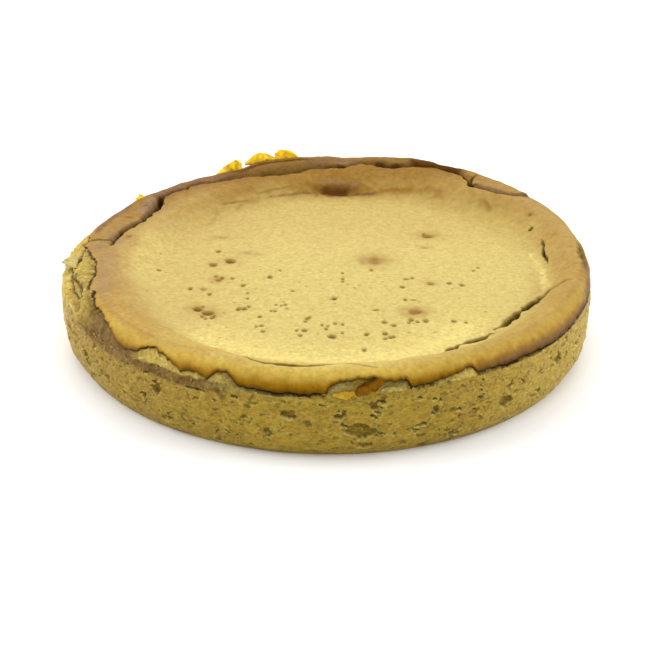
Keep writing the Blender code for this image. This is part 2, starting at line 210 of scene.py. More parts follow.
def rollShape(azimuth):
    # the smooth roll of the rim: radius and height of its crest and of its lowest line
    crest = around(azimuth, form["outerCrestRadius"])
    crestZ, _ = capHeight(crest, azimuth, crest * np.sin(np.radians(azimuth)),
                          -crest * np.cos(np.radians(azimuth)))
    ripple = 0.4 * np.sin(np.radians(7 * azimuth)) - 0.4
    return crest, crestZ, around(azimuth, form["lipRadius"]) + ripple, around(azimuth, form["lipLow"])


def rollPoint(shape, turn):
    # a quarter of an oval, from the crest at turn 0 down to the lowest line
    crest, crestZ, outer, low = shape
    return crest + (outer - crest) * np.sin(turn), low + (crestZ - low) * np.cos(turn) ** 0.9


def lipEdge(azimuth):
    # where the tears cut the roll off: radius, height and turn
    shape = rollShape(azimuth)
    tears = around(azimuth, lipTears(), straight=True)
    tears = tears + ragged(azimuth, 1.3, 0.5, seed + 42) + ragged(azimuth, 0.5, 0.4, seed + 43)
    tears = tears + ragged(azimuth, 1.9, 0.6, seed + 45) * window(azimuth, -104, -56, 6)
    height = np.clip(np.maximum(tears, shoulderEdge(azimuth)[1] + 0.9), shape[3], shape[1] - 1)
    turn = np.arccos(((height - shape[3]) / (shape[1] - shape[3])) ** (1 / 0.9))
    return (*rollPoint(shape, turn), turn)


# The cap: the sunken top, its rolled rim and the torn lip. Lengths along the rim are taken at arcRadius
cap = {
    "columns": 1440,
    "arcRadius": 130,
    "plateauStep": 0.6,
    "rowsSlope": 118,
    "rowsRoll": 38,
    "keepTriangles": 190000,
    "flatLumps": (0.35, 45.0),
    "rollLumps": (0.7, 26.0),
    # cracks: path of (x, y), half width, depth, raggedness
    "cracks": [([(121, -34), (115.5, -30.5), (111, -30), (104.7, -37), (99.5, -43.5), (93.2, -52.2),
                 (86.5, -62.5), (80.5, -69.9)], 2.0, 4.6, 0.7),
               ([(82, -72), (76, -76.5), (71, -80), (61.2, -86.7), (54.5, -96), (49.5, -108)], 1.3, 3.6, 0.8),
               ([(113.6, 28), (113.4, 21), (113.3, 16), (113.8, 9.5), (114.2, 3)], 0.7, 2.4, 0.5),
               ([(109.5, 42), (109, 39)], 0.9, 1.6, 0.3),
               ([(-54.5, -94), (-47, -98), (-41, -107), (-37.3, -114), (-33.2, -119), (-27.7, -122.5),
                 (-21.5, -124.2), (-15.4, -125.2), (-9.3, -126), (-3.2, -125.4), (1.4, -124.4),
                 (6.9, -122.6), (11.6, -123.9), (15.4, -125.6), (22.3, -127)], 0.6, 2.0, 0.4),
               ([(-80, -76), (-70, -85), (-61, -92), (-54.5, -95)], 0.4, 1.0, 0.4),
               ([(-111.5, 16.7), (-117, 15), (-124, 14.5), (-127, 14)], 0.7, 2.6, 0.5),
               ([(85, 99), (82, 97), (79, 89), (84, 88)], 0.7, 3.0, 0.4),
               ([(129.1, 5), (129.8, -5), (129.6, -14)], 1.5, 1.3, 0.9),
               ([(-59, 73), (-53.4, 76.7), (-49, 79.4), (-44, 81.8)], 0.8, 0.6, 0.5),
               ([(-40, 87.6), (-35, 91), (-30.5, 93.4), (-25, 95.5), (-20, 98)], 0.8, 0.6, 0.5),
               ([(-110, 46), (-107, 47), (-105, 46)], 0.5, 0.9, 0.3),
               ([(-101, 62), (-99, 64), (-98.5, 66)], 0.4, 0.7, 0.3)],
    # strokes of a mask along a path of (azimuth, radius): mask, half width, amount
    "strokes": [("mauve", 1.6, 0.8, [(261, 113.8), (257, 113.4), (252.8, 112.8), (249.6, 111.4),
                                     (246.3, 110.2), (242.5, 111.4), (239.2, 113.6)]),
                ("mauve", 1.3, 0.75, [(262, 124), (256, 123), (250, 123.6), (240, 124)]),
                ("lilac", 3.4, 1.0, [(239.5, 116), (236, 117.5), (233, 119.5)]),
                # painted shade along a narrow crack
                ("creviceShade", 1.6, 1.0, [(230.5, 119.3), (232.5, 117.6)]),
                ("mauve", 4.6, 0.85, [(231, 122), (222, 122), (212, 122.5), (206, 124)]),
                ("brown", 2.4, 0.7, [(213, 119.5), (208, 120.5)]),
                ("brown", 1.2, 0.9, [(206, 124.5), (196, 125), (188, 125), (184, 124)]),
                ("mauve", 3.2, 0.8, [(184, 122), (179, 123), (173, 124)]),
                # painted shade along two more narrow cracks
                ("creviceShade", 1.4, 1.0, [(184, 116), (179, 117.5), (175, 117)]),
                ("creviceShade", 1.4, 0.9, [(167, 125), (163, 124.4), (160, 124.6)]),
                ("brown", 1.8, 0.8, [(158, 129.5), (150, 131.5), (145, 131)]),
                ("mauve", 1.7, 0.9, [(137, 120.5), (131, 122.8), (126, 126.5), (123, 132)]),
                ("lilac", 4.5, 0.5, [(262, 110), (266, 116), (268, 122)]),
                ("brown", 3.8, 1.0, [(181, 97.2), (177, 97.4), (174, 98)]),
                ("brown", 4.0, 0.5, [(182.5, 97.6), (177, 98.4), (170, 98.6)]),
                ("brown", 1.5, 0.7, [(172, 97.4), (169, 97.8), (165.4, 99)]),
                ("brown", 0.9, 0.55, [(182, 96), (190, 95), (200, 93.6)]),
                ("lilac", 1.4, 0.45, [(182, 103), (176, 103.4), (171, 103.4)]),
                ("toasted", 2.2, 0.8, [(166, 99), (160, 104), (154, 107)]),
                ("toasted", 6.0, 0.6, [(190, 97), (178, 102), (168, 101)]),
                ("toasted", 3.2, 0.35, [(206, 100), (213, 99), (217, 97)]),
                ("toasted", 1.6, 0.5, [(205, 93), (211, 92), (214, 89)]),
                ("toasted", 1.4, 0.45, [(222, 91), (226, 86), (231, 84)]),
                ("toasted", 2.5, 0.4, [(154, 106), (149, 109), (143, 108)]),
                ("toasted", 2.0, 0.35, [(258, 103), (263, 101), (268, 103)]),
                ("toasted", 1.2, 0.6, [(128, 113), (131, 114)]),
                # a painted highlight along the front of the inner slope
                ("paleAndHighlight", 11.0, 0.85, [(-34, 100), (-15, 104), (0, 105), (15, 105), (30, 102), (42, 97)]),
                ("lilac", 6.0, 0.45, [(-86, 114), (-76, 118), (-67, 119)]),
                ("honey", 4.0, 0.7, [(-62, 124), (-55, 125), (-49, 126)]),
                ("paleAndHighlight", 2.0, 0.7, [(78, 113), (90, 110), (100, 108)]),
                ("paleAndHighlight", 8.0, 0.3, [(-78, 98), (-90, 95), (-102, 92)])],
    # strokes on the roll: mask, half width, amount, path of (azimuth, height)
    # the first stroke is painted shade in a crack over the roll
    "rollStrokes": [("torn", 1.7, 0.9, [(94, 45.4), (89, 45), (84, 44.4)]),
                    ("brown", 0.7, 0.9, [(92, 46), (89, 45.7), (84, 45.2), (81, 44)]),
                    ("mauve", 2.6, 0.85, [(83, 43.6), (78, 42), (72, 39.6)])],
    # pits of the flat: x, y, half length, half width, depth, how dark the painted shade in it is, how brown
    # round it
    "pits": [(-50, 6, 4.6, 3.4, 1.6, 0.95, 0.3), (-58.7, 0.6, 3.4, 2.4, 1.0, 0.7, 0.35),
             (-62.5, -51, 3.8, 3.0, 1.3, 0.9, 0.6), (-57.2, -55, 4.2, 3.0, 1.3, 0.95, 0.6),
             (24.4, 8.7, 6.5, 4.5, 0.5, 0.2, 0.8), (54, 41.5, 5.5, 2.8, 0.9, 0.7, 0.6),
             (51.7, 25.7, 2.8, 1.4, 0.4, 0.4, 0.3), (43.3, -51.6, 5, 3.4, 0.8, 0.6, 0.75),
             (52.5, -18.7, 3.4, 2.2, 1.0, 0.75, 0.3), (40.3, -13.6, 2.2, 1.5, 0.8, 0.7, 0.1),
             (43.6, -12.3, 2.2, 1.5, 0.8, 0.7, 0.1), (3.7, -37.6, 2.6, 2.0, 1.2, 0.9, 0.1),
             (2.9, -79, 3.4, 2.2, 1.3, 1.0, 0.1), (-10, -73, 2.4, 1.8, 0.9, 0.8, 0.1),
             (-54.8, -17.4, 3, 2.2, 0.7, 0.7, 0.5), (-61.2, -28.7, 3.2, 1.6, 0.7, 0.6, 0.2),
             (24, -50, 3.4, 1.4, 0.5, 0.6, 0.1), (32.4, -66.3, 2.3, 1.7, 0.9, 0.8, 0.1),
             (30.2, -78.6, 2.2, 1.6, 0.9, 0.8, 0.1), (61.5, -61, 2.3, 1.7, 0.9, 0.8, 0.1),
             (43, -38.4, 3.2, 0.9, 0.5, 0.6, 0.1), (-40, -49.7, 2.3, 1.7, 0.9, 0.8, 0.3),
             (110, 51, 2.0, 1.5, 0.8, 0.7, 0.3), (-86, -8, 1.8, 1.3, 0.8, 0.8, 0.1),
             (-104, 22, 2.6, 2.0, 0.6, 0.5, 0.4), (-55.8, 36.5, 3.5, 1.6, 0.2, 0.1, 0.4),
             (-41, 16, 5.5, 1.8, 0.2, 0.1, 0.4)],
    # small pits: x, y, size
    "smallPits": [(-57, 18, 1.6), (-68, -28, 1.5), (-58, -34, 1.4), (-53, -15, 1.5), (-48, -15, 1.5),
                  (-56, -13, 1.4), (-42, -23, 1.5), (-39, -32, 1.2), (-39, -38, 1.2), (-43, -50, 1.7),
                  (-38, -47, 1.2), (-60, -59, 1.3), (-58, -61, 1.3), (-55, -60, 1.6), (-54, -58, 1.2),
                  (-60, -48, 1.1), (-29, -13, 1.6), (-24, -5, 1.1), (-32, -58, 1.3), (-31, -68, 1.3),
                  (-30, -74, 1.4), (-33, -69, 1.2), (-27, -52, 1.1), (-25, -45, 1.0), (-25, -52, 1.2),
                  (-22, -46, 1.0), (-20, -45, 1.1), (-19, -49, 1.0), (-17, -29, 1.1), (-9, -60, 1.4),
                  (-10, -63, 1.3), (-8, -59, 1.2), (-12, -78, 1.3), (-14, -73, 1.2), (-2, -67, 1.2),
                  (0, -71, 1.3), (1, -68, 1.1), (4, -65, 1.3), (8, -66, 1.3), (8, -75, 1.2),
                  (8, -14, 1.2), (8, -7, 1.1), (8, -17, 1.1), (19, -76, 1.5), (18, -92, 1.5),
                  (28, -63, 1.5), (28, -75, 1.6), (32, -78, 1.4), (28, -80, 1.2), (38, -23, 1.5),
                  (39, -38, 1.3), (41, -60, 1.7), (40, -63, 1.2), (48, -61, 1.7), (44, -62, 1.2),
                  (52, 44, 1.4), (23, -3, 1.4), (62, -18, 1.4), (68, -20, 1.6), (78, 1, 1.2),
                  (75, -3, 1.1), (67, -62, 1.3)],
    "finestPits": 70,
    "foldHollow": (7, 97, 13, 2.4, 2.4),
}


def capHeight(radius, azimuth, x, y):
    # the sunken flat, the slope up to the roll, the groove and the outer ridge
    foot = around(azimuth, form["flatEdgeRadius"]) - around(azimuth, form["slopeSpread"])
    climb = smoothStep(radius, foot, around(azimuth, form["rollCrestRadius"]))
    roll = around(azimuth, form["rollCrestHeight"]) + lumps(x, y, 0, *cap["rollLumps"], seed + 2)
    flat = form["topLevel"] + lumps(x, y, 0, *cap["flatLumps"], seed + 3)
    height = flat + (roll - flat) * climb
    grooveAt = around(azimuth, form["grooveRadius"]) + ragged(azimuth, 1.6, 0.8, seed + 5)
    ridgeStart = grooveAt - 1
    ridgeTop = np.maximum(around(azimuth, form["outerCrestRadius"]), ridgeStart + 3)
    rise = around(azimuth, form["outerCrestHeight"]) - around(azimuth, form["rollCrestHeight"])
    height = height + rise * smoothStep(radius, ridgeStart, ridgeTop)
    off = (radius - grooveAt) / around(azimuth, form["grooveWidth"])
    # the crack's inner side is steep and its outer side is rounded
    off = np.where(off < 0, off * 1.35, off * 0.9)
    return height - around(azimuth, form["grooveDepth"]) * np.exp(-np.abs(off) ** 2.4), off


def stamp(fields, chart, at, size, amounts, power=1.5):
    # sinks a soft-edged oval of a given size into each field, at one place of the surface
    rows, columns, u, v = chart(at, 2.2 * max(size))
    if len(rows) == 0 or len(columns) == 0:
        return
    spot = np.ix_(rows, columns)
    off = (u[spot] / size[0]) ** 2 + (v[spot] / size[1]) ** 2
    shape = np.exp(-(off**power))
    for field, amount in zip(fields, amounts):
        field[spot] = np.maximum(field[spot], amount * shape)


def turnedMesh(name, radius, height, azimuth, masks):
    # one closed surface from rows of a profile that goes round the upright axis, with a point at each end
    rows, columns = radius.shape
    turned = np.radians(azimuth)[None, :]
    points = np.stack((radius * np.sin(turned), -radius * np.cos(turned), height),
                      axis=2)[1:-1].reshape(-1, 3)
    ends = np.array([[0, 0, height[0].mean()], [0, 0, height[-1].mean()]])
    points = np.concatenate((points, ends)) * mm
    ring = np.arange((rows - 2) * columns).reshape(rows - 2, columns)
    after = np.roll(ring, -1, axis=1)
    quads = np.stack((ring[:-1], ring[1:], after[1:], after[:-1]), axis=2).reshape(-1, 4)
    first = np.stack((np.full(columns, ring.size), ring[0], after[0]), axis=1)
    last = np.stack((np.full(columns, ring.size + 1), after[-1], ring[-1]), axis=1)
    corners = np.concatenate((quads.ravel(), first.ravel(), last.ravel()))
    sizes = np.concatenate((np.full(len(quads), 4), np.full(2 * columns, 3)))
    mesh = bpy.data.meshes.new(name)
    mesh.vertices.add(len(points))
    mesh.vertices.foreach_set("co", points.astype(np.float32).ravel())
    mesh.loops.add(len(corners))
    mesh.loops.foreach_set("vertex_index", corners.astype(np.int32))
    mesh.polygons.add(len(sizes))
    mesh.polygons.foreach_set("loop_start", np.concatenate(([0], np.cumsum(sizes)[:-1])).astype(np.int32))
    mesh.update(calc_edges=True)
    for maskName, mask in masks.items():
        ends = [mask[0].mean(), mask[-1].mean()]
        values = np.concatenate((mask[1:-1].ravel(), ends)).astype(np.float32)
        mesh.attributes.new(maskName, "FLOAT", "POINT").data.foreach_set("value", np.clip(values, 0, 1))
    piece = bpy.data.objects.new(name, mesh)
    bpy.context.scene.collection.objects.link(piece)
    return piece


def thinOut(piece, keep):
    # keeps the triangles where the surface bends, and no edge grows very long
    piece.data.calc_loop_triangles()
    group = piece.vertex_groups.new(name="even")
    group.add(list(range(len(piece.data.vertices))), 0.5, "REPLACE")
    thin = piece.modifiers.new("thin", "DECIMATE")
    thin.vertex_group = "even"
    thin.vertex_group_factor = evenness
    thin.ratio = min(1.0, keep / len(piece.data.loop_triangles))
    graph = bpy.context.evaluated_depsgraph_get()
    shaped = bpy.data.meshes.new_from_object(piece.evaluated_get(graph))
    piece.modifiers.clear()
    piece.vertex_groups.clear()
    piece.data = shaped
    shaped.shade_smooth()
    print(piece.name, "has", len(shaped.polygons), "faces")


def pushOut(radius, height, amount):
    # moves each point along the outward normal of its profile
    alongR = np.gradient(radius, axis=0)
    alongZ = np.gradient(height, axis=0)
    size = np.maximum(np.hypot(alongR, alongZ), 1e-6)
    return radius - amount * alongZ / size, height + amount * alongR / size


def makeCap():
    azimuth = np.arange(cap["columns"]) * 360 / cap["columns"]
    inner = np.arange(0, form["innerFlatRadius"], cap["plateauStep"])
    share = (np.arange(cap["rowsSlope"] + 1) / cap["rowsSlope"])[:, None]
    crestRadius = around(azimuth, form["outerCrestRadius"])[None, :]
    slopeRadius = form["innerFlatRadius"] + share * (crestRadius - form["innerFlatRadius"])
    radius = np.concatenate((np.repeat(inner[:, None], cap["columns"], axis=1), slopeRadius))
    x = radius * np.sin(np.radians(azimuth))
    y = -radius * np.cos(np.radians(azimuth))
    height, offGroove = capHeight(radius, azimuth[None, :], x, y)
    topRows = len(radius)

    # masks on the top, 0 to 1
    names = ("tan", "golden", "toasted", "honey", "paleAndHighlight", "ridge", "brown", "mauve", "lilac", "halo",
             "torn", "creviceShade", "pitShade")
    masks = {name: np.zeros(radius.shape) for name in names}
    wander = lumps(x, y, 0, 1.0, 3.0, seed + 6)
    fine = lumps(x, y, 7, 0.6, 1.2, seed + 7)
    grooveHere = smoothStep(around(azimuth, form["grooveDepth"]), 0.4, 3)[None, :]
    # painted shade down in the groove
    masks["creviceShade"] = grooveHere * np.exp(-np.abs(offGroove * 1.3) ** 3)
    # painted shade on the inner face of the ridge just outside the groove, stronger at some azimuths
    faceBy = around(azimuth, [(120, 0.5), (140, 0.7), (146, 0.9), (160, 0.8), (170, 0.6), (180, 0.5),
                              (186, 0.75), (210, 0.75), (216, 0.4), (262, 0.3)])[None, :]
    ridge = smoothStep(offGroove, 0.3, 1.0) * (1 - smoothStep(offGroove, 2.2, 4))
    masks["ridge"] = ridge * grooveHere * faceBy
    for mask, halfWidth, amount, path in cap["strokes"]:
        path = [(r * math.sin(math.radians(a)), -r * math.cos(math.radians(a))) for a, r in path]
        pathX = x + wander * halfWidth * 0.5
        pathY = y + wander * halfWidth * 0.3 + fine * halfWidth * 0.4
        away, _ = distanceToPath(pathX, pathY, path)
        power = 1.5 if mask in ("toasted", "paleAndHighlight", "lilac") else 2.5
        masks[mask] = np.maximum(masks[mask], amount * np.exp(-((away / halfWidth) ** power)))

    foldX, foldY, foldLength, foldWidth, foldDepth = cap["foldHollow"]
    offFold = ((x - foldX) / foldLength) ** 2 + ((y - foldY - 0.004 * (x - foldX) ** 2) / foldWidth) ** 2
    height -= foldDepth * np.exp(-offFold)

    def chart(at, reach):
        atX, atY = at
        r, a = math.hypot(atX, atY), math.degrees(math.atan2(atX, -atY))
        rows = np.nonzero(np.abs(radius[:, int(a / 360 * cap["columns"]) % cap["columns"]]
                                 - r) < reach)[0]
        columns = np.nonzero(np.abs(apart(azimuth, a)) < math.degrees(min(3.0, reach / max(r, 0.1))))[0]
        return rows, columns, x + 0.45 * wander - atX, y + 0.3 * fine - atY

    sunk = np.zeros(radius.shape)
    # each pit is sunk, with painted shade in it and a brown ring round it
    for atX, atY, halfLength, halfWidth, depth, dark, brown in cap["pits"]:
        stamp((sunk, masks["pitShade"]), chart, (atX, atY), (halfLength * 0.6, halfWidth * 0.85),
              (depth * 1.1, dark), 2.5)
        stamp((masks["halo"],), chart, (atX, atY), (halfLength * 1.4, halfWidth * 1.7), (brown,), 1)
    for atX, atY, size in cap["smallPits"]:
        stamp((sunk, masks["pitShade"]), chart, (atX, atY), (size * 0.85, size * 1.15),
              (0.25 + 0.4 * size, 0.3 * size + 0.3), 2.5)
    draw = np.random.default_rng(seed + 8)
    for _ in range(cap["finestPits"]):
        atX, atY = draw.normal(-12, 40), draw.normal(-40, 26)
        if math.hypot(atX, atY) < 98:
            size = draw.uniform(0.45, 0.8)
            stamp((sunk, masks["pitShade"]), chart, (atX, atY), (size * 1.2, size),
                  (0.3, draw.uniform(0.2, 0.55)))
    height -= sunk

    # roll: from its crest down to the torn lip
    shape = rollShape(azimuth)
    lipR, lipZ, lipTurn = (edge[None, :] for edge in lipEdge(azimuth))
    rowShare = (np.arange(1, cap["rowsRoll"] + 1) / cap["rowsRoll"])[:, None]
    rollR, rollZ = rollPoint((crestRadius, height[-1][None, :], shape[2], shape[3]), rowShare * lipTurn)
    # under the lip: a thin torn edge, then in and down out of sight
    under = [(-0.25, -0.45), (-0.8, -0.75), (-1.7, -0.8), (-3.2, -0.6), (-6, -1.2)]
    underR = np.concatenate([lipR + dr for dr, _ in under])
    underZ = np.concatenate([lipZ + dz for _, dz in under])
    hiddenR = np.concatenate((np.full((1, cap["columns"]), 108.0), np.full((1, cap["columns"]), 60.0),
                              np.zeros((1, cap["columns"]))))
    hiddenZ = np.full(hiddenR.shape, 29.0)
    radius = np.concatenate((radius, rollR, underR, hiddenR))
    height = np.concatenate((height, rollZ, underZ, hiddenZ))

    # how far each point is past the crest: 0 on the top, up to 1 on the roll, 2 and more under the lip
    level = np.ones((1, cap["columns"]))
    past = np.concatenate((np.zeros((topRows, 1)) * level, rowShare * lipTurn / (np.pi / 2),
                           np.full((len(under), 1), 2.0) * level, np.full((3, 1), 3.0) * level))
    toLip = np.concatenate((np.zeros((topRows, 1)), rowShare, np.ones((len(under) + 3, 1))))
    x = radius * np.sin(np.radians(azimuth))
    y = -radius * np.cos(np.radians(azimuth))
    arc = np.radians(azimuth)[None, :] * cap["arcRadius"]
    shown = (past < 1.5).astype(float)
    blotch = lumps(x, y, height, 1.0, 7, seed + 15) * 0.5 + lumps(x, y, height, 1.0, 3, seed + 16) * 0.5

    # cracks, over the crest too
    warpX = x + lumps(x, y, 0, 1.0, 3.0, seed + 6)
    fineX = lumps(x, y, 7, 0.6, 1.2, seed + 7)
    split = np.zeros(radius.shape)
    gash = np.zeros(radius.shape)
    for path, halfWidth, depth, rag in cap["cracks"]:
        away, along = distanceToPath(x + rag * (warpX - x) + 0.5 * fineX, y + rag * (x - warpX) * 0.6, path)
        taper = np.sin(np.pi * np.clip(along, 0.02, 0.98)) ** 0.6
        swell = 0.8 + lumps(x, y, 3, 0.6, 5, seed + 17)
        away = away / (halfWidth * taper * swell + 0.12)
        split = np.maximum(split, depth * taper * np.exp(-(away**3)) * (past < 0.75))
        inside = np.exp(-((away / 1.3) ** 5)) * (past < 0.75)
        gash = np.maximum(gash, inside * min(1.0, depth / 1.6) * taper**0.5)

    # relief: soft dents on the roll, fine wrinkles round the slope, and a little grain
    rim = smoothStep(radius, 96, 116) * (past < 1.0)
    dents = lumps(x, y, height, 0.5, 10.0, seed + 9) + lumps(x, y, height, 0.14, 3.6, seed + 10)
    wrinkles = lumps(arc / 2.5, radius + height * 0.4, 0, 0.16, 1.9, seed + 11)
    grain = lumps(x, y, height, 0.09, 1.5, seed + 12)
    fade = np.clip((2.2 - past * 1.6), 0.3, 1)
    relief = shown * (rim * dents * fade + grain * (0.35 + 0.65 * rim))
    relief += shown * wrinkles * rim * (0.25 + 0.75 * window(azimuth[None, :], 120, 245, 12))
    relief -= split
    relief[0] = relief[-1] = 0
    radius, height = pushOut(radius, height, relief)
    radius[0] = radius[-1] = 0

    # masks below the crest
    extra = len(radius) - topRows
    for name in names:
        masks[name] = np.concatenate((masks[name], np.repeat(masks[name][-1:], extra, axis=0)))
    az = azimuth[None, :] + np.zeros_like(radius)
    patch = lumps(x, y, height, 1.0, 14, seed + 13) * 0.6 + lumps(x, y, height, 1.0, 5, seed + 14) * 0.4
    outward = smoothStep(radius, around(azimuth, form["flatEdgeRadius"])[None, :] - 14,
                         around(azimuth, form["outerCrestRadius"])[None, :] - 2)
    tanBy = around(azimuth, [(-30, 0.5), (-10, 0.25), (0, 0.2), (30, 0.3), (60, 0.6), (90, 0.8),
                             (120, 0.75), (150, 0.8), (180, 0.85), (215, 0.9), (250, 0.95), (280, 0.95),
                             (300, 1.0), (315, 0.9)])[None, :]
    masks["tan"] = np.clip(outward * tanBy + 0.25 * patch * outward, 0, 1)
    masks["tan"] = np.maximum(masks["tan"], 0.35 * smoothStep(y, 0, 80) + 0.25 * smoothStep(-x, 20, 80)
                              + 0.1 * blotch)
    toastedBy = around(azimuth, [(-90, 0.3), (-70, 0.25), (-45, 0.3), (0, 0.05), (40, 0.4), (80, 0.4),
                                 (110, 0.3), (135, 0.6), (160, 1.2), (200, 1.3), (230, 0.8),
                                 (262, 0.45)])[None, :]
    masks["toasted"] = np.clip(masks["toasted"] * 0.8 + outward * toastedBy + 0.12 * blotch * outward, 0, 1)
    goldenBy = around(azimuth, [(-75, 0), (-60, 0.5), (-45, 0.9), (-20, 1), (35, 1), (55, 0.8), (75, 0.4),
                                (100, 0.1), (250, 0)])[None, :]
    masks["golden"] = np.clip((smoothStep(past, 0.0, 0.4) + 0.6 * outward**2 * (past == 0)) * goldenBy, 0, 1)
    honeyBy = around(azimuth, [(-60, 0.5), (-45, 0.9), (-20, 1.0), (0, 1.0), (20, 1.0), (45, 1.0),
                               (70, 0.85), (110, 0.4), (180, 0.4), (250, 0.4), (290, 0.4)])[None, :]
    lipShade = smoothStep(toLip, 0.7, 1.0)
    masks["honey"] = np.clip((smoothStep(past, 0.35, 0.9) + 0.5 * lipShade * (past < 1.5)) * honeyBy
                             + 0.2 * patch * smoothStep(past, 0.2, 0.5), 0, 1)
    lowMauve = around(azimuth, [(-100, 0.5), (-60, 0.4), (-40, 0.15), (0, 0), (26, 0), (38, 0.75),
                                (75, 0.85), (100, 0.6), (180, 0.8), (250, 0.8)])[None, :]
    lowMauve = np.clip(lowMauve * smoothStep(past + 0.05 * patch, 0.52, 0.86), 0, 1)
    masks["mauve"] = np.where(past > 0.25, lowMauve, masks["mauve"])
    # painted shade towards the torn lip, under it, and deep in the cracks
    masks["creviceShade"] = np.maximum(masks["creviceShade"] * (past < 0.3),
                                  0.7 * lipShade**3 + 0.3 * (past >= 1.5))
    # painted shade on the walls of the cracks
    masks["torn"] = gash
    masks["creviceShade"] = np.maximum(masks["creviceShade"],
                                  0.8 * smoothStep(gash, 0.55, 1.0) * smoothStep(blotch, -0.3, 0.1))
    for name in ("brown", "paleAndHighlight", "ridge", "lilac"):
        masks[name] *= 1 - smoothStep(past, 0.2, 0.5)
    for mask, halfWidth, amount, path in cap["rollStrokes"]:
        away, _ = distanceToPath(arc + 0.8 * blotch, height + 0.8 * patch,
                                 [(math.radians(a) * cap["arcRadius"], z) for a, z in path])
        masks[mask] = np.maximum(masks[mask], amount * np.exp(-((away / halfWidth) ** 2.5)) * (past > 0)
                                 * (past < 1.5))
    masks["mauve"] = np.maximum(masks["mauve"], 0.5 * (toLip > 0.93) * (past < 1.5)
                                * window(az, -110, -62, 4))
    for name in ("halo", "pitShade"):
        masks[name] *= past == 0
    piece = turnedMesh("cap", radius, height, azimuth, masks)
    thinOut(piece, cap["keepTriangles"])
    return piece


# The body: the porous wall, the crumbly tier under the torn lip, and the underside. Lengths around the
# wall are taken at arcRadius
body = {
    "columns": 2200,
    "arcRadius": 134,
    "rowsTier": 26,
    "rowsWall": 70,
    "keepTriangles": 190000,
    "bulge": [(-180, 0), (-104, 0), (-98, 0.4), (-86, 1.0), (-76, 2.0), (-66, 2.4), (-58, 1.2),
              (-44, 1.0), (-39, 1.8), (-24, 1.6), (-19, 0.6), (-12, 0), (16, 0), (19, 0.8), (30, 0.8),
              (34, 0), (180, 0)],
    "recess": [(-180, 3.2), (-104, 3.0), (-96, 2.0), (-60, 2.0), (-50, 2.2), (-40, 1.6), (-22, 1.6),
               (-14, 2.6), (0, 3.0), (15, 3.0), (19, 1.6), (32, 1.6), (40, 3.2), (180, 3.2)],
    "bigPits": [(7, 15.6, 7.5, 3.8, 1.9), (-11, 13, 3, 2, 1.3), (-35, 23, 3, 2, 1.2),
                (-7, 22.6, 4.2, 2.2, 1.5), (18, 14, 4.5, 2.6, 1.2), (25, 12.5, 3, 2.6, 1.2),
                (38, 15, 4, 3, 1.3), (7, 6, 3.5, 3, 1.2), (3, 23, 2.6, 1.2, 1.2),
                (38.6, 24, 2.8, 1.4, 1.2), (55, 22.6, 2.2, 2.6, 1.5), (-28, 15, 2, 1.2, 1)],
    # cracks of the tier: half width, path of (azimuth, radius)
    "tierCracks": [(0.9, [(-101, 125), (-97, 127), (-93, 126.4), (-88, 128)]),
                   (0.9, [(-82, 126.5), (-77, 128.5), (-71, 127.5), (-66, 129.5)]),
                   (0.7, [(-86, 130.4), (-80, 129.6), (-74, 131.4), (-67, 131)]),
                   (0.6, [(-88, 128), (-85, 130), (-79, 129.4)])],
    "hiddenPits": 26,
    "pores": 2600,
}


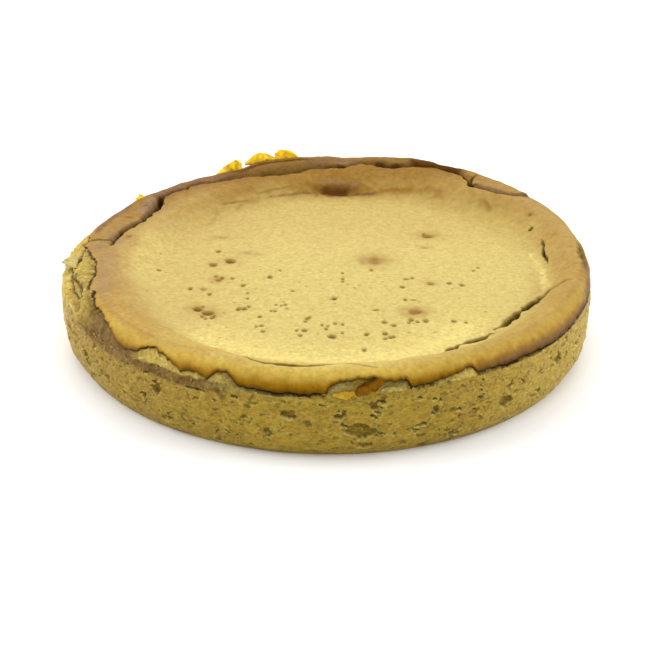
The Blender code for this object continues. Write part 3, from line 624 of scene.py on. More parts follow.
def makeBody():
    azimuth = np.arange(body["columns"]) * 360 / body["columns"]
    lipR, lipZ, _ = lipEdge(azimuth)
    shoulderR, shoulderZ = shoulderEdge(azimuth)
    deepR = lipR - around(azimuth, body["recess"])
    topZ = lipZ - 0.35
    # rows from the hidden top, over the tier under the lip, down the wall and in over the underside
    share = (np.arange(body["rowsTier"]) / (body["rowsTier"] - 1))[:, None]
    tierR = deepR + (shoulderR - deepR) * share
    arch = np.sin(np.pi * share**0.8)
    tierZ = topZ + (shoulderZ - topZ) * share ** 1.1 + around(azimuth, body["bulge"]) * arch
    down = (np.arange(1, body["rowsWall"] + 1) / body["rowsWall"])[:, None]
    wallZ = shoulderZ + (form["footRounding"] - shoulderZ) * down
    wallR = wallRadius(wallZ) - 0.3 * (1 - down) ** 8
    turn = (np.arange(1, 6) / 5)[:, None] * np.pi / 2
    footR = wallRadius(form["footRounding"]) - form["footRounding"] * (1 - np.cos(turn)) + 0 * azimuth
    footZ = form["footRounding"] * (1 - np.sin(turn)) + 0 * azimuth
    level = np.ones((1, body["columns"]))
    radius = np.concatenate((0 * level, 60 * level, 108 * level, (deepR - 5) * level, tierR, wallR, footR,
                             60 * level, 0 * level))
    height = np.concatenate((26 * level, 26 * level, 27 * level, (topZ - 3) * level, tierZ, wallZ, footZ,
                             0 * level, 0 * level))
    firstTier, firstWall = 4, 4 + body["rowsTier"]
    lastWall = firstWall + body["rowsWall"]

    kind = np.zeros(len(radius))
    kind[firstTier:firstWall] = 1
    kind[firstWall:lastWall] = 2
    kind = kind[:, None]
    az = azimuth[None, :] + 0 * radius
    ringX = np.sin(np.radians(az)) * body["arcRadius"]
    ringY = -np.cos(np.radians(az)) * body["arcRadius"]

    def onWall(amount, spacing, fieldSeed, stretch=1.0):
        # lumps on the wall as a straight tube, so that they don't change with its lean
        return lumps(ringX, ringY, height * stretch, amount, spacing, fieldSeed)

    warpU = onWall(1.6, 3.0, seed + 21) + onWall(0.5, 1.1, seed + 34)
    warpV = onWall(1.0, 2.4, seed + 22) + onWall(0.4, 1.1, seed + 35)

    def chart(at, reach):
        rows = np.arange(firstWall - 8, lastWall)
        columns = np.nonzero(np.abs(apart(azimuth, at[0])) < math.degrees(reach / body["arcRadius"]))[0]
        if len(columns):
            rows = rows[np.abs(height[rows, columns[len(columns) // 2]] - at[1]) < reach]
        sideways = np.radians(apart(az, at[0])) * body["arcRadius"]
        return rows, columns, sideways + warpU, height - at[1] + warpV

    names = ("poreShade", "rim", "shade", "stain", "green", "goldAndLitSide", "torn", "amber")
    masks = {name: np.zeros(radius.shape) for name in names}
    sunk = np.zeros(radius.shape)
    raised = np.zeros(radius.shape)
    draw = np.random.default_rng(seed + 1)
    pits = list(body["bigPits"])
    for middle in np.linspace(55, 305, body["hiddenPits"]):
        pits.append((middle + draw.uniform(-4, 4), draw.uniform(6, 25), draw.uniform(2.5, 6),
                     draw.uniform(1.8, 3.4), draw.uniform(0.8, 1.6)))
    wells = np.zeros(radius.shape)
    for atA, atZ, halfWidth, halfHeight, depth in pits:
        stamp((wells,), chart, (atA, atZ), (halfWidth * 1.1, halfHeight * 1.1), (depth,), 1.5)
    for _ in range(body["pores"]):
        size = draw.lognormal(-0.75, 0.4)
        wide = size * draw.uniform(1.1, 2.4)
        at = (draw.uniform(0, 360), draw.uniform(1.5, 36))
        # each pore: a raised rim with a painted highlight, and a sunk hollow with painted shade
        stamp((raised, masks["rim"]), chart, at, (wide * 1.5, size * 1.5), (0.12, 0.35), 3)
        stamp((sunk, masks["poreShade"]), chart, at, (wide, size), (0.2 + 0.6 * size, draw.uniform(0.15, 0.8)), 2)
    masks["rim"] = np.clip(masks["rim"] - masks["poreShade"], 0, 1)

    relief = onWall(0.5, 22, seed + 4) + onWall(0.3, 6, seed + 23)
    relief += onWall(0.35, 2.4, seed + 24, 1.5)
    relief += onWall(0.18, 1.1, seed + 25, 1.5)
    # cavities of crooked outline, wider than high, with a raised border
    hollow = onWall(1.0, 5.5, seed + 31, 1.7) + onWall(0.7, 2.6, seed + 32, 1.7)
    hollow += onWall(0.4, 1.2, seed + 33, 1.4)
    hollow += wells
    cavity = smoothStep(hollow, 0.88, 1.02) * (kind == 2)
    border = smoothStep(hollow, 0.62, 0.88) * (kind == 2) - cavity
    relief += raised - sunk - (1.5 + 0.6 * np.clip(hollow - 1, 0, 1)) * cavity
    relief += 0.4 * np.clip(border, 0, 1)
    # painted shade in the cavities and a painted highlight on their raised border
    masks["poreShade"] = np.maximum(masks["poreShade"], 0.45 * cavity)
    masks["rim"] = np.maximum(masks["rim"], 0.35 * border)
    # painted light: the far left of the wall paler, as if lit by the side lamp
    masks["rim"] = np.maximum(masks["rim"], 0.45 * window(az, -116, -74, 8) * (kind == 2))
    # painted shade under the upper edge of each cavity and a painted highlight along its lower one
    lower = np.roll(cavity, 2, axis=0)
    masks["poreShade"] = np.maximum(masks["poreShade"], np.clip(cavity - lower, 0, 1))
    masks["rim"] = np.maximum(masks["rim"], 0.9 * np.clip(lower - cavity, 0, 1) * (kind == 2))
    tierX, tierY = radius * np.sin(np.radians(az)), -radius * np.cos(np.radians(az))
    crumbly = lumps(tierX, tierY, height, 1.0, 5.5, seed + 26)
    crumbly += lumps(tierX, tierY, height, 0.8, 2.3, seed + 27)
    crumbly += lumps(tierX, tierY, height, 0.5, 1.1, seed + 28)
    left = window(az, -106, -18, 5)
    crack = np.zeros(radius.shape)
    rusty = np.zeros(radius.shape)
    for halfWidth, path in body["tierCracks"]:
        points = [(r * math.sin(math.radians(a)), -r * math.cos(math.radians(a))) for a, r in path]
        away, _ = distanceToPath(tierX + 0.7 * crumbly, tierY - 0.7 * crumbly, points)
        crack = np.maximum(crack, np.exp(-((away / halfWidth) ** 2)) * (kind == 1))
        rusty = np.maximum(rusty, np.exp(-((away / halfWidth / 3) ** 2)) * (kind == 1))
    relief = np.where(kind == 1, relief * 0.5 + crumbly * (0.35 + 0.45 * left), relief) - 1.3 * crack
    edge = np.ones(len(radius))
    edge[:firstTier] = 0
    edge[firstTier:firstTier + 4] = (0.1, 0.4, 0.7, 0.9)
    edge[lastWall - 6:lastWall] = (0.9, 0.8, 0.65, 0.5, 0.35, 0.2)
    edge[lastWall:] = 0
    radius, height = pushOut(radius, height, relief * edge[:, None])
    radius[0] = radius[-1] = 0

    # masks: painted shade in under the lip, purple-brown stain, pale green torn insides, moist amber, and
    # gold that is partly painted light on the sides
    patch = lumps(tierX, tierY, height, 0.6, 6, seed + 29)
    patch += lumps(tierX, tierY, height, 0.4, 2.4, seed + 30)
    gap = np.clip(lipZ[None, :] - height, 0, 40)
    out = radius - lipR[None, :]
    narrow = 1 - smoothStep(lipZ - shoulderZ, 1.5, 4)[None, :]
    shade = (0.3 + 0.7 * narrow) * (1 - smoothStep(gap, 0.8, 3.0) * 0.8)
    shade += 0.8 * (1 - smoothStep(gap, 0.5, 1.3)) * (1 - smoothStep(out, 0.3, 1.2))
    masks["shade"] = np.clip((kind == 1) * shade, 0, 1)
    masks["shade"] = np.maximum(masks["shade"], 0.9 * crack)
    # a brown tone on the left of the tier, darker in its low spots as painted shade, and a brown stain round
    # its cracks
    masks["torn"] = np.clip((kind == 1) * (0.2 + smoothStep(-crumbly, 0.0, 1.0)) * left + 0.7 * rusty, 0, 1)
    rough = 0.3 * crumbly
    goldAndLitSideBy = window(az, -110, -64, 5) * smoothStep(height + rough, 32, 35)
    goldAndLitSideBy *= 0.5 + smoothStep(crumbly, -0.6, 0.2)
    # painted light: the far left and the right of the wall paler, where the side lamps fall
    goldAndLitSideBy += 0.95 * window(az, -114, -76, 8) + 0.3 * window(az, 40, 110, 15)
    goldAndLitSideBy += 0.9 * window(az, -40.5, -20, 2) * smoothStep(height + rough, 33.6, 34.4)
    goldAndLitSideBy += 0.9 * window(az, 16.5, 33.5, 1.5) * smoothStep(height + rough, 34.6, 35.2)
    masks["goldAndLitSide"] = np.clip((kind >= 1) * goldAndLitSideBy, 0, 1)
    stainBy = window(az, -60, -20, 5) * (1 - smoothStep(height, 38, 42)) * smoothStep(height, 27.5, 31)
    lilac = window(az, -114, -92, 3) * smoothStep(height, 32, 34) * (kind == 1)
    stainBy = stainBy * (0.75 + 0.7 * patch) + 0.7 * lilac * (0.9 + 0.5 * patch)
    stainBy += 0.28 * window(az, -84, -24, 12) + 0.12 * window(az, 18, 62, 12)
    stainBy += 0.5 * window(az, 60, 110, 6) * smoothStep(height, 31, 35)
    masks["stain"] = np.clip(stainBy, 0, 1)
    greenBy = window(az, 0.5, 5.4, 0.4) * smoothStep(height, 31.5, 33)
    greenBy += window(az, 10.6, 15.6, 0.4) * smoothStep(height, 33, 34.2)
    greenBy += 0.7 * window(az, -24, -2, 2) * smoothStep(height, 30.5, 32)
    masks["green"] = np.clip(greenBy * (0.9 + 0.4 * patch), 0, 1)
    masks["amber"] = np.clip(window(az, -108, -66, 4) * smoothStep(patch, 0.15, 0.6) * (height > 33), 0, 1)
    piece = turnedMesh("body", radius, height, azimuth, masks)
    thinOut(piece, body["keepTriangles"])
    return piece


# Thin torn skins that stand up or out from the rim: first and last azimuth, rises and reaches of the jagged
# edge above and out from the foot, radius and height of the foot
skins = {
    "thickness": 0.35,
    "columns": 36,
    "rows": 12,
    "list": [(203, 210, (4.2, 6.8, 6.9, 5.4, 4.2, 2.6, 0.8), (0.5, 2.0), 127.0, 41.5),
             (194, 202, (3.4, 4.4, 6.0, 6.8, 5.6, 3.0, 0.8), (0.5, 1.8), 128.5, 44.0),
             (186, 194, (0.6, 2.4, 4.6, 6.4, 7.0, 7.0, 5.2), (0.5, 1.8), 128.5, 44.0),
             (234, 237.4, (0.8, 2.8, 1.0), (0.5, 1.0), 125.0, 42.0)],
    "spur": (-90, -84, (0.4, 1.2, 1.0, 0.4), (1.5, 5.0, 8.0, 6.0, 1.0), 127.5, 38.0),
}

# Torn bits that lie against the wall in the cleft: name, material, first and last azimuth, heights of
# the lower and of the upper edge, radius, how far the middle stands out
scraps = {
    "thickness": 1.0,
    "columns": 40,
    "rows": 20,
    "list": [("flap", "caramel", 4.6, 11.4, (32.2, 31.4, 31.6, 32.4, 33.6, 35.4, 37.4),
              (32.8, 34.4, 37.0, 38.2, 38.8, 40.2, 41.4, 40.4), 132.8, 1.8),
             ("amberLump", "amberScrap", -1.2, 6.8, (31.0, 30.4, 30.4, 31.0),
              (33.0, 34.0, 34.6, 35.0, 34.0), 133.2, 1.6),
             ("creamLump", "creamScrap", 10.6, 16.4, (32.8, 32.6, 33.0, 33.8),
              (35.0, 35.8, 35.8, 35.4, 34.8), 132.8, 1.6)],
}


def thickSheet(name, radius, azimuth, height, thickness, side, masks):
    # a grid of points about the upright axis, thickened evenly at side 0 and to one side at side -1
    x, y, z = np.broadcast_arrays(radius * np.sin(azimuth), -radius * np.cos(azimuth), height)
    index = np.arange(x.size).reshape(x.shape)
    faces = np.stack((index[:-1, :-1], index[:-1, 1:], index[1:, 1:], index[1:, :-1]), axis=2)
    mesh = bpy.data.meshes.new(name)
    mesh.from_pydata(np.stack((x, y, z), axis=2).reshape(-1, 3) * mm, [], faces.reshape(-1, 4))
    for maskName, mask in masks.items():
        values = np.broadcast_to(mask, x.shape).ravel().astype(np.float32)
        mesh.attributes.new(maskName, "FLOAT", "POINT").data.foreach_set("value", values)
    piece = bpy.data.objects.new(name, mesh)
    bpy.context.scene.collection.objects.link(piece)
    wall = piece.modifiers.new("wall", "SOLIDIFY")
    wall.thickness = thickness * mm
    wall.offset = side
    graph = bpy.context.evaluated_depsgraph_get()
    piece.data = bpy.data.meshes.new_from_object(piece.evaluated_get(graph))
    piece.modifiers.clear()
    piece.data.shade_smooth()
    return piece


def makeSkin(name, start, end, rises, reaches, footRadius, footHeight, thickness, fieldSeed):
    # from the foot the strip rises and reaches out in proportion, and is crumpled by soft lumps
    along = np.linspace(0, 1, skins["columns"])[None, :]
    up = np.linspace(0, 1, skins["rows"])[:, None]
    azimuth = np.radians(start + (end - start) * along)
    rise = np.interp(along[0], np.linspace(0, 1, len(rises)), rises)[None, :]
    reach = np.interp(along[0], np.linspace(0, 1, len(reaches)), reaches)[None, :]
    jags = np.random.default_rng(fieldSeed).uniform(-0.3, 0.3, 15)
    jag = np.interp(along[0] * 14, np.arange(15), jags)[None, :]
    crumple = lumps(along * 20, up * 6, 0, 0.6, 2.6, fieldSeed + 1) * (0.3 + up)
    radius = footRadius + (reach + jag) * up + crumple
    height = footHeight + (rise + jag) * up + lumps(along * 20, up * 6, 5, 0.4, 3.0, fieldSeed + 2) * up
    foot = np.clip(0.85 - 1.4 * up, 0, 1)
    return thickSheet(name, radius, azimuth, height, thickness, 0, {"foot": foot})


def makeScrap(name, start, end, lows, highs, radius, bulge, fieldSeed):
    # spans from its lower to its upper edge, swells in the middle, and is crumpled by soft lumps
    along = np.linspace(0, 1, scraps["columns"])[None, :]
    up = np.linspace(0, 1, scraps["rows"])[:, None]
    azimuth = np.radians(start + (end - start) * along)
    draw = np.random.default_rng(fieldSeed)
    edges = []
    for heights in (lows, highs):
        line = np.interp(along[0], np.linspace(0, 1, len(heights)), heights)
        edges.append((line + np.interp(along[0] * 16, np.arange(17),
                                       draw.uniform(-0.35, 0.35, 17)))[None, :])
    height = edges[0] + (edges[1] - edges[0]) * up
    swell = (np.sin(np.pi * up) * np.sin(np.pi * along)).clip(0, 1) ** 0.8
    place = radius + bulge * swell + lumps(along * 14, height, 0, 0.8, 1.8, fieldSeed + 1)
    return thickSheet(name, place, azimuth, height, scraps["thickness"], -1, {})


# Crumbs: where they lie, as first and last azimuth, lowest and highest place, radius and how many
crumbs = {
    "sizes": (0.25, 0.7),
    "places": [(-24, -3, 30.8, 33.6, 134.2, 16), (-86, -60, 35, 39, 131.5, 24),
               (16, 34, 33.4, 35.4, 134.4, 14), (-56, -26, 30.5, 34.5, 133.6, 26),
               (52, 72, 34.5, 37.5, 133.6, 12)],
}


def makeCrumbs(places, fieldSeed):
    # each crumb is a small ball of rows and columns, squashed and dented at random
    draw = np.random.default_rng(fieldSeed)
    rows, columns = 6, 9
    theta = (np.arange(rows) + 0.5)[:, None] * np.pi / rows
    phi = np.arange(columns)[None, :] * 2 * np.pi / columns
    ball = np.stack((np.sin(theta) * np.cos(phi), np.sin(theta) * np.sin(phi), np.cos(theta) + 0 * phi),
                    axis=2).reshape(-1, 3)
    ball = np.concatenate((ball, [[0, 0, 1], [0, 0, -1]]))
    ring = np.arange(rows * columns).reshape(rows, columns)
    after = np.roll(ring, -1, axis=1)
    quads = np.stack((ring[:-1], ring[1:], after[1:], after[:-1]), axis=2).reshape(-1, 4)
    faces = np.concatenate((quads[:, [0, 1, 2]], quads[:, [0, 2, 3]],
                            np.stack((np.full(columns, rows * columns), ring[0], after[0]), axis=1),
                            np.stack((np.full(columns, rows * columns + 1), after[-1], ring[-1]),
                                     axis=1)))
    points, corners = [], []
    for start, end, low, high, radius, count in places:
        for _ in range(count):
            azimuth, z = math.radians(draw.uniform(start, end)), draw.uniform(low, high)
            size = draw.uniform(*crumbs["sizes"]) * draw.uniform(0.6, 1.0)
            shape = ball * (size * draw.uniform(0.6, 1.3, 3)) * draw.uniform(0.75, 1.15, (len(ball), 1))
            at = radius + draw.uniform(-0.5, 0.4)
            corners.append(faces + len(points) * len(ball))
            points.append(shape + (at * math.sin(azimuth), -at * math.cos(azimuth), z))
    mesh = bpy.data.meshes.new("crumbs")
    mesh.from_pydata(np.concatenate(points) * mm, [], np.concatenate(corners))
    mesh.shade_smooth()
    piece = bpy.data.objects.new("crumbs", mesh)
    bpy.context.scene.collection.objects.link(piece)
    return piece


def nodeGroup(name, inputs, outputs):
    # an empty shader node group with named sockets
    group = bpy.data.node_groups.new(name, "ShaderNodeTree")
    for label, kind, default in inputs:
        socket = group.interface.new_socket(label, in_out="INPUT", socket_type=kind)
        if default is not None:
            socket.default_value = default
    for label, kind in outputs:
        group.interface.new_socket(label, in_out="OUTPUT", socket_type=kind)
    return group, group.nodes.new("NodeGroupInput"), group.nodes.new("NodeGroupOutput")


def feed(links, value, socket):
    # links a socket to an input, or sets the input to a number or a colour
    if isinstance(value, bpy.types.NodeSocket):
        links.new(value, socket)
    elif isinstance(value, tuple):
        socket.default_value = (*value, 1)
    else:
        socket.default_value = value


def mixColour(nodes, links, share, low, high, blend="MIX"):
    # the mix of two colours by a share; each may be a value or a socket
    node = nodes.new("ShaderNodeMix")
    node.data_type = "RGBA"
    node.blend_type = blend
    for socket, value in ((node.inputs["Factor"], share), (node.inputs[6], low), (node.inputs[7], high)):
        feed(links, value, socket)
    return node.outputs[2]


def worked(nodes, links, operation, first, second):
    # the result of one sum with two numbers, each a value or a socket
    node = nodes.new("ShaderNodeMath")
    node.operation = operation
    feed(links, first, node.inputs[0])
    feed(links, second, node.inputs[1])
    return node.outputs[0]


def noisePattern(nodes, links, place, scale, detail, roughness=0.5):
    # a cloudy pattern between 0 and 1
    node = nodes.new("ShaderNodeTexNoise")
    node.inputs["Detail"].default_value = detail
    node.inputs["Roughness"].default_value = roughness
    links.new(place, node.inputs["Vector"])
    links.new(scale, node.inputs["Scale"])
    return node.outputs["Fac"]


def flattened(nodes, links, amount):
    # the place on the piece with its height multiplied, so that patterns come out lower than wide
    parts = nodes.new("ShaderNodeSeparateXYZ")
    links.new(nodes.new("ShaderNodeTexCoord").outputs["Object"], parts.inputs[0])
    joined = nodes.new("ShaderNodeCombineXYZ")
    links.new(parts.outputs["X"], joined.inputs["X"])
    links.new(parts.outputs["Y"], joined.inputs["Y"])
    links.new(worked(nodes, links, "MULTIPLY", parts.outputs["Z"], amount), joined.inputs["Z"])
    return joined.outputs[0]


def unevenToneGroup():
    # mottles a colour: patches of a second colour, and small changes of brightness
    group, entry, leave = nodeGroup("unevenTone", [
        ("Color", "NodeSocketColor", (0.5, 0.5, 0.5, 1)),
        ("Patch Color", "NodeSocketColor", (0.4, 0.4, 0.4, 1)),
        ("Patch Scale", "NodeSocketFloat", 60), ("Patch Amount", "NodeSocketFloat", 0.5),
        ("Speck Scale", "NodeSocketFloat", 500), ("Speck Amount", "NodeSocketFloat", 0.2),
        ("Flatten", "NodeSocketFloat", 1)],
        [("Color", "NodeSocketColor")])
    nodes, links = group.nodes, group.links
    place = flattened(nodes, links, entry.outputs["Flatten"])
    ramp = nodes.new("ShaderNodeMapRange")
    ramp.interpolation_type = "SMOOTHSTEP"
    ramp.inputs["From Min"].default_value = 0.42
    ramp.inputs["From Max"].default_value = 0.62
    patch = noisePattern(nodes, links, place, entry.outputs["Patch Scale"], 4, 0.62)
    links.new(patch, ramp.inputs["Value"])
    amount = worked(nodes, links, "MULTIPLY", ramp.outputs["Result"], entry.outputs["Patch Amount"])
    mottled = mixColour(nodes, links, amount, entry.outputs["Color"], entry.outputs["Patch Color"])
    brightness = nodes.new("ShaderNodeMapRange")
    brightness.inputs["From Min"].default_value = 0.3
    brightness.inputs["From Max"].default_value = 0.7
    speckAmount = entry.outputs["Speck Amount"]
    links.new(noisePattern(nodes, links, place, entry.outputs["Speck Scale"], 3),
              brightness.inputs["Value"])
    links.new(worked(nodes, links, "SUBTRACT", 1, speckAmount), brightness.inputs["To Min"])
    links.new(worked(nodes, links, "ADD", 1, speckAmount), brightness.inputs["To Max"])
    specked = mixColour(nodes, links, 1.0, mottled, brightness.outputs["Result"], "MULTIPLY")
    links.new(specked, leave.inputs["Color"])
    return group


def raggedEdgeGroup():
    # breaks up the half shades of a mask with noise and leaves its 0 and 1 alone
    group, entry, leave = nodeGroup("raggedEdge", [
        ("Mask", "NodeSocketFloat", 0), ("Scale", "NodeSocketFloat", 260),
        ("Amount", "NodeSocketFloat", 2),
        ("Flatten", "NodeSocketFloat", 1)],
        [("Mask", "NodeSocketFloat")])
    nodes, links = group.nodes, group.links
    place = flattened(nodes, links, entry.outputs["Flatten"])
    noise = noisePattern(nodes, links, place, entry.outputs["Scale"], 5, 0.62)
    mask = entry.outputs["Mask"]
    half = worked(nodes, links, "MULTIPLY", mask, worked(nodes, links, "SUBTRACT", 1.0, mask))
    middle = worked(nodes, links, "MULTIPLY", half, 4.0)
    stray = worked(nodes, links, "SUBTRACT", noise, 0.5)
    stray = worked(nodes, links, "MULTIPLY", stray, entry.outputs["Amount"])
    total = worked(nodes, links, "ADD", mask, worked(nodes, links, "MULTIPLY", stray, middle))
    total.node.use_clamp = True
    links.new(total, leave.inputs["Mask"])
    return group


def fineGrainGroup():
    # heights for a bumpy normal: coarse crumbs and a finer grain
    group, entry, leave = nodeGroup("fineGrain", [
        ("Crumb Scale", "NodeSocketFloat", 500), ("Crumb Height", "NodeSocketFloat", 0.15),
        ("Grain Scale", "NodeSocketFloat", 1800), ("Grain Height", "NodeSocketFloat", 0.05),
        ("Flatten", "NodeSocketFloat", 1)],
        [("Height", "NodeSocketFloat")])
    nodes, links = group.nodes, group.links
    place = flattened(nodes, links, entry.outputs["Flatten"])
    heights = []
    for label in ("Crumb", "Grain"):
        noise = noisePattern(nodes, links, place, entry.outputs[label + " Scale"], 3)
        heights.append(worked(nodes, links, "MULTIPLY", noise, entry.outputs[label + " Height"]))
    links.new(worked(nodes, links, "ADD", *heights), leave.inputs["Height"])
    return group


def groupNode(nodes, links, group, values):
    # one use of a node group, with its inputs fed by name
    node = nodes.new("ShaderNodeGroup")
    node.node_tree = group
    for label, value in values.items():
        feed(links, value, node.inputs[label])
    return node


def foodMaterial(name, look, groups):
    # a base colour with a layer of colour for each mask, mottled, with a grainy normal
    material = bpy.data.materials.new(name)
    material.use_nodes = True
    nodes, links = material.node_tree.nodes, material.node_tree.links
    shader = nodes["Principled BSDF"]
    shader.inputs["Roughness"].default_value = look["roughness"]
    shader.inputs["Specular IOR Level"].default_value = look["specular"]
    flatten = look.get("flatten", 1)
    specks = {"Speck Scale": look["speckScale"], "Speck Amount": look["speckAmount"], "Flatten": flatten}
    tone = groupNode(nodes, links, groups["unevenTone"], {
        "Color": look["colour"], "Patch Color": look["patchColour"],
        "Patch Scale": look["patchScale"], "Patch Amount": look["patchAmount"], **specks})
    colour = tone.outputs["Color"]
    for mask, layer, rag in look["layers"]:
        attribute = nodes.new("ShaderNodeAttribute")
        attribute.attribute_name = mask
        edge = groupNode(nodes, links, groups["raggedEdge"], {
            "Mask": attribute.outputs["Fac"], "Scale": look["ragScale"], "Amount": rag,
            "Flatten": flatten})
        layerTone = groupNode(nodes, links, groups["unevenTone"], {
            "Color": layer, "Patch Color": tuple(0.8 * part for part in layer),
            "Patch Scale": look["patchScale"] * 1.7, "Patch Amount": 0.6, **specks})
        colour = mixColour(nodes, links, edge.outputs["Mask"], colour, layerTone.outputs["Color"])
    links.new(colour, shader.inputs["Base Color"])
    # a painted glow: the colour is also given off as light
    if "glow" in look:
        links.new(colour, shader.inputs["Emission Color"])
        shader.inputs["Emission Strength"].default_value = look["glow"]
    grain = groupNode(nodes, links, groups["fineGrain"], {
        "Crumb Scale": look["crumbScale"], "Crumb Height": look["crumbHeight"],
        "Grain Scale": look["grainScale"], "Grain Height": look["grainHeight"], "Flatten": flatten})
    bump = nodes.new("ShaderNodeBump")
    bump.inputs["Distance"].default_value = bumpDepth
    bump.inputs["Strength"].default_value = 1.0
    links.new(grain.outputs["Height"], bump.inputs["Height"])
    links.new(bump.outputs["Normal"], shader.inputs["Normal"])
    return material


# Colours are linear, layers are laid over the base in this order by the masks of the same name
looks = {
    "bakedTop": {
        "colour": (0.52, 0.415, 0.131), "patchColour": (0.42, 0.295, 0.08),
        "patchScale": 230, "patchAmount": 0.4, "speckScale": 520, "speckAmount": 0.12,
        "crumbScale": 420, "crumbHeight": 0.35, "grainScale": 1500, "grainHeight": 0.15,
        "roughness": 0.5, "specular": 0.05,
        "ragScale": 260,
        "layers": [("tan", (0.39, 0.235, 0.07), 0.5), ("golden", (0.56, 0.38, 0.065), 0.6),
                   ("toasted", (0.25, 0.125, 0.016), 0.8), ("honey", (0.30, 0.145, 0.001), 1.2),
                   # the pale colour is partly a painted highlight
                   # the ridge colour is painted shade
                   ("paleAndHighlight", (0.66, 0.53, 0.17), 1.5), ("ridge", (0.20, 0.11, 0.028), 1),
                   ("brown", (0.085, 0.026, 0.0008), 0.8), ("mauve", (0.165, 0.085, 0.034), 1.2),
                   ("lilac", (0.27, 0.17, 0.09), 1), ("halo", (0.28, 0.135, 0.025), 1.5),
                   # the torn colour is painted shade on the walls of cracks
                   ("torn", (0.17, 0.105, 0.012), 1), ("creviceShade", (0.04, 0.014, 0.0005), 1),
                   # the pit colour is painted shade
                   ("pitShade", (0.16, 0.083, 0.006), 1)],
    },
    "porousWall": {
        "colour": (0.38, 0.255, 0.028), "patchColour": (0.27, 0.165, 0.014),
        "patchScale": 140, "patchAmount": 0.6, "speckScale": 550, "speckAmount": 0.22,
        "crumbScale": 500, "crumbHeight": 0.8, "grainScale": 1400, "grainHeight": 0.4, "flatten": 1.8,
        "roughness": 0.4, "specular": 0.12,
        "ragScale": 350,
        # the rim colour is a painted highlight
        "layers": [("rim", (0.58, 0.45, 0.12), 2), ("stain", (0.19, 0.10, 0.025), 1.5),
                   # the torn colour here is a brown tone, partly painted shade in low spots
                   ("green", (0.36, 0.29, 0.07), 1.5), ("torn", (0.17, 0.095, 0.012), 2.5),
                   # the gold colour is partly painted light on the sides of the wall
                   ("goldAndLitSide", (0.54, 0.39, 0.08), 1.5), ("amber", (0.45, 0.26, 0.012), 4),
                   # the pore colour is painted shade
                   ("poreShade", (0.13, 0.085, 0.008), 1.2),
                   ("shade", (0.045, 0.019, 0.002), 1.5)],
    },
    # the amber skins give off a painted glow, standing in for light shining through them
    "amberSkin": {
        "colour": (0.84, 0.56, 0.018), "patchColour": (0.55, 0.30, 0.004), "glow": 0.3,
        "patchScale": 260, "patchAmount": 0.8, "speckScale": 700, "speckAmount": 0.15,
        "crumbScale": 600, "crumbHeight": 0.3, "grainScale": 1600, "grainHeight": 0.1,
        "roughness": 0.35, "specular": 0.3, "ragScale": 260,
        "layers": [("foot", (0.20, 0.10, 0.005), 1.5)],
    },
    "caramel": {
        "colour": (0.21, 0.085, 0.0005), "patchColour": (0.10, 0.035, 0.0002),
        "patchScale": 220, "patchAmount": 0.8, "speckScale": 700, "speckAmount": 0.15,
        "crumbScale": 500, "crumbHeight": 0.6, "grainScale": 1600, "grainHeight": 0.1,
        "roughness": 0.35, "specular": 0.05, "layers": [],
    },
    "amberScrap": {
        "colour": (0.52, 0.33, 0.012), "patchColour": (0.36, 0.17, 0.004),
        "patchScale": 300, "patchAmount": 0.7, "speckScale": 900, "speckAmount": 0.15,
        "crumbScale": 600, "crumbHeight": 0.4, "grainScale": 1600, "grainHeight": 0.1,
        "roughness": 0.35, "specular": 0.2, "layers": [],
    },
    "creamScrap": {
        "colour": (0.46, 0.36, 0.09), "patchColour": (0.30, 0.21, 0.035),
        "patchScale": 300, "patchAmount": 0.7, "speckScale": 900, "speckAmount": 0.15,
        "crumbScale": 600, "crumbHeight": 0.4, "grainScale": 1600, "grainHeight": 0.1,
        "roughness": 0.4, "specular": 0.2, "layers": [],
    },
    "crumb": {
        "colour": (0.40, 0.32, 0.09), "patchColour": (0.20, 0.12, 0.03),
        "patchScale": 250, "patchAmount": 0.8, "speckScale": 900, "speckAmount": 0.2,
        "crumbScale": 600, "crumbHeight": 0.5, "grainScale": 1600, "grainHeight": 0.2,
        "roughness": 0.45, "specular": 0.15, "layers": [],
    },
    "paleFloor": {
        "colour": (0.9, 0.9, 0.9), "patchColour": (0.89, 0.89, 0.89),
        "patchScale": 3, "patchAmount": 0.5, "speckScale": 50, "speckAmount": 0.005,
        "crumbScale": 50, "crumbHeight": 0.01, "grainScale": 200, "grainHeight": 0.01,
        "roughness": 0.9, "specular": 0.1, "layers": [],
    },
}


def makeFloor(material):
    # a level square floor under the cake
    half = 3.0
    mesh = bpy.data.meshes.new("floor")
    mesh.from_pydata([(-half, -half, 0), (half, -half, 0), (half, half, 0), (-half, half, 0)], [],
                     [(0, 1, 2, 3)])
    floor = bpy.data.objects.new("floor", mesh)
    bpy.context.scene.collection.objects.link(floor)
    mesh.materials.append(material)


# Soft studio light: each light's size, strength, place and the point it faces
lights = {
    "world": 0.5,
    "list": [("overhead", 1.4, 10, (0.0, 0.3, 1.3)), ("leftSide", 0.9, 12, (-1.15, 0.0, 0.5)),
             ("rightSide", 0.9, 10.5, (1.15, 0.0, 0.5)), ("behind", 1.2, 6, (0.0, 1.4, 0.8)),
             ("front", 1.2, 4.5, (0.0, -1.0, 1.2))],
}


def makeLights():
    world = bpy.data.worlds.new("studio")
    world.use_nodes = True
    world.node_tree.nodes["Background"].inputs["Color"].default_value = (1, 1, 1, 1)
    world.node_tree.nodes["Background"].inputs["Strength"].default_value = lights["world"]
    bpy.context.scene.world = world
    for name, size, power, place in lights["list"]:
        light = bpy.data.lights.new(name, "AREA")
        light.size = size
        light.energy = power
        lamp = bpy.data.objects.new(name, light)
        lamp.location = place
        lamp.rotation_euler = (Vector((0, 0, 0.03)) - Vector(place)).to_track_quat("-Z", "Y").to_euler()
        bpy.context.scene.collection.objects.link(lamp)


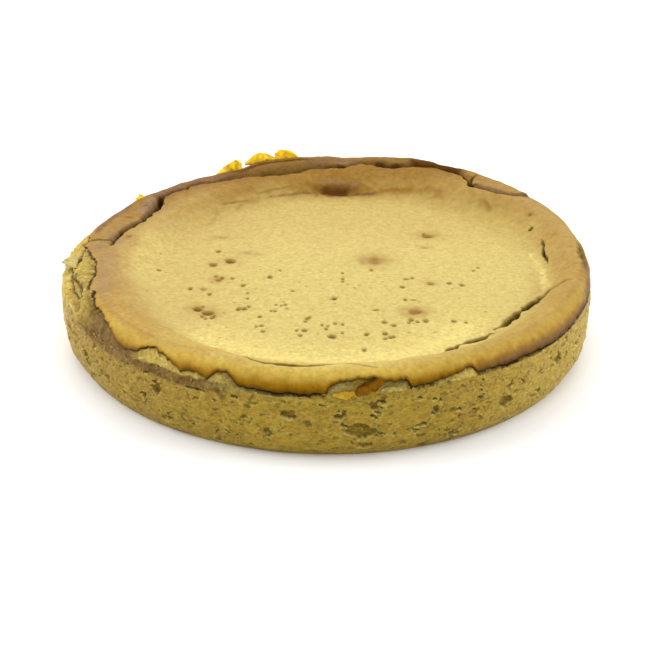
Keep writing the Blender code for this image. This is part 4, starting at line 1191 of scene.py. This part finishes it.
# Camera: distance from the cake, angle down on it, tilt of the horizon, and where it aims
camera = {"distance": 0.825, "elevation": 27.08, "roll": 0.68, "offset": (-0.00075, 0.0135),
          "raise": 0.39, "lens": 87.6}


def makeCamera():
    down = math.radians(camera["elevation"])
    away = Vector((0, -math.cos(down), math.sin(down)))
    place = away * camera["distance"] - Vector((*camera["offset"], 0))
    right = Vector((1, 0, 0))
    up = away.cross(right)
    tilt = math.radians(camera["roll"])
    sideways = math.cos(tilt) * right + math.sin(tilt) * up
    upward = -math.sin(tilt) * right + math.cos(tilt) * up
    # aims a little higher, which lowers the cake in the picture
    lift = math.radians(camera["raise"])
    backward = math.cos(lift) * away - math.sin(lift) * upward
    upward = math.cos(lift) * upward + math.sin(lift) * away
    data = bpy.data.cameras.new("camera")
    data.lens = camera["lens"]
    data.clip_start = 0.01
    holder = bpy.data.objects.new("camera", data)
    turn = Matrix((sideways, upward, backward)).transposed()
    holder.matrix_world = Matrix.Translation(place) @ turn.to_4x4()
    bpy.context.scene.collection.objects.link(holder)
    bpy.context.scene.camera = holder


groups = {"unevenTone": unevenToneGroup(), "raggedEdge": raggedEdgeGroup(), "fineGrain": fineGrainGroup()}
materials = {name: foodMaterial(name, look, groups) for name, look in looks.items()}
print("materials made")


def own(piece, material):
    # the piece stands for the cake in the model and takes its finish
    piece.data.materials.clear()
    piece.data.materials.append(material)
    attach(piece, "root")
    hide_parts("cheesecake")


own(makeCap(), materials["bakedTop"])
print("cap made")
own(makeBody(), materials["porousWall"])
print("body made")
for number, skin in enumerate(skins["list"]):
    own(makeSkin("skin" + str(number + 1), *skin, skins["thickness"], seed + 60 + number),
        materials["amberSkin"])
own(makeSkin("spur", *skins["spur"], 0.7, seed + 70), materials["creamScrap"])
for number, (name, material, *scrap) in enumerate(scraps["list"]):
    own(makeScrap(name, *scrap, seed + 80 + number), materials[material])
own(makeCrumbs(crumbs["places"], seed + 90), materials["crumb"])
print("skins made")
makeFloor(materials["paleFloor"])
bpy.context.scene.view_settings.view_transform = "Standard"
makeLights()
makeCamera()
print("stage made")
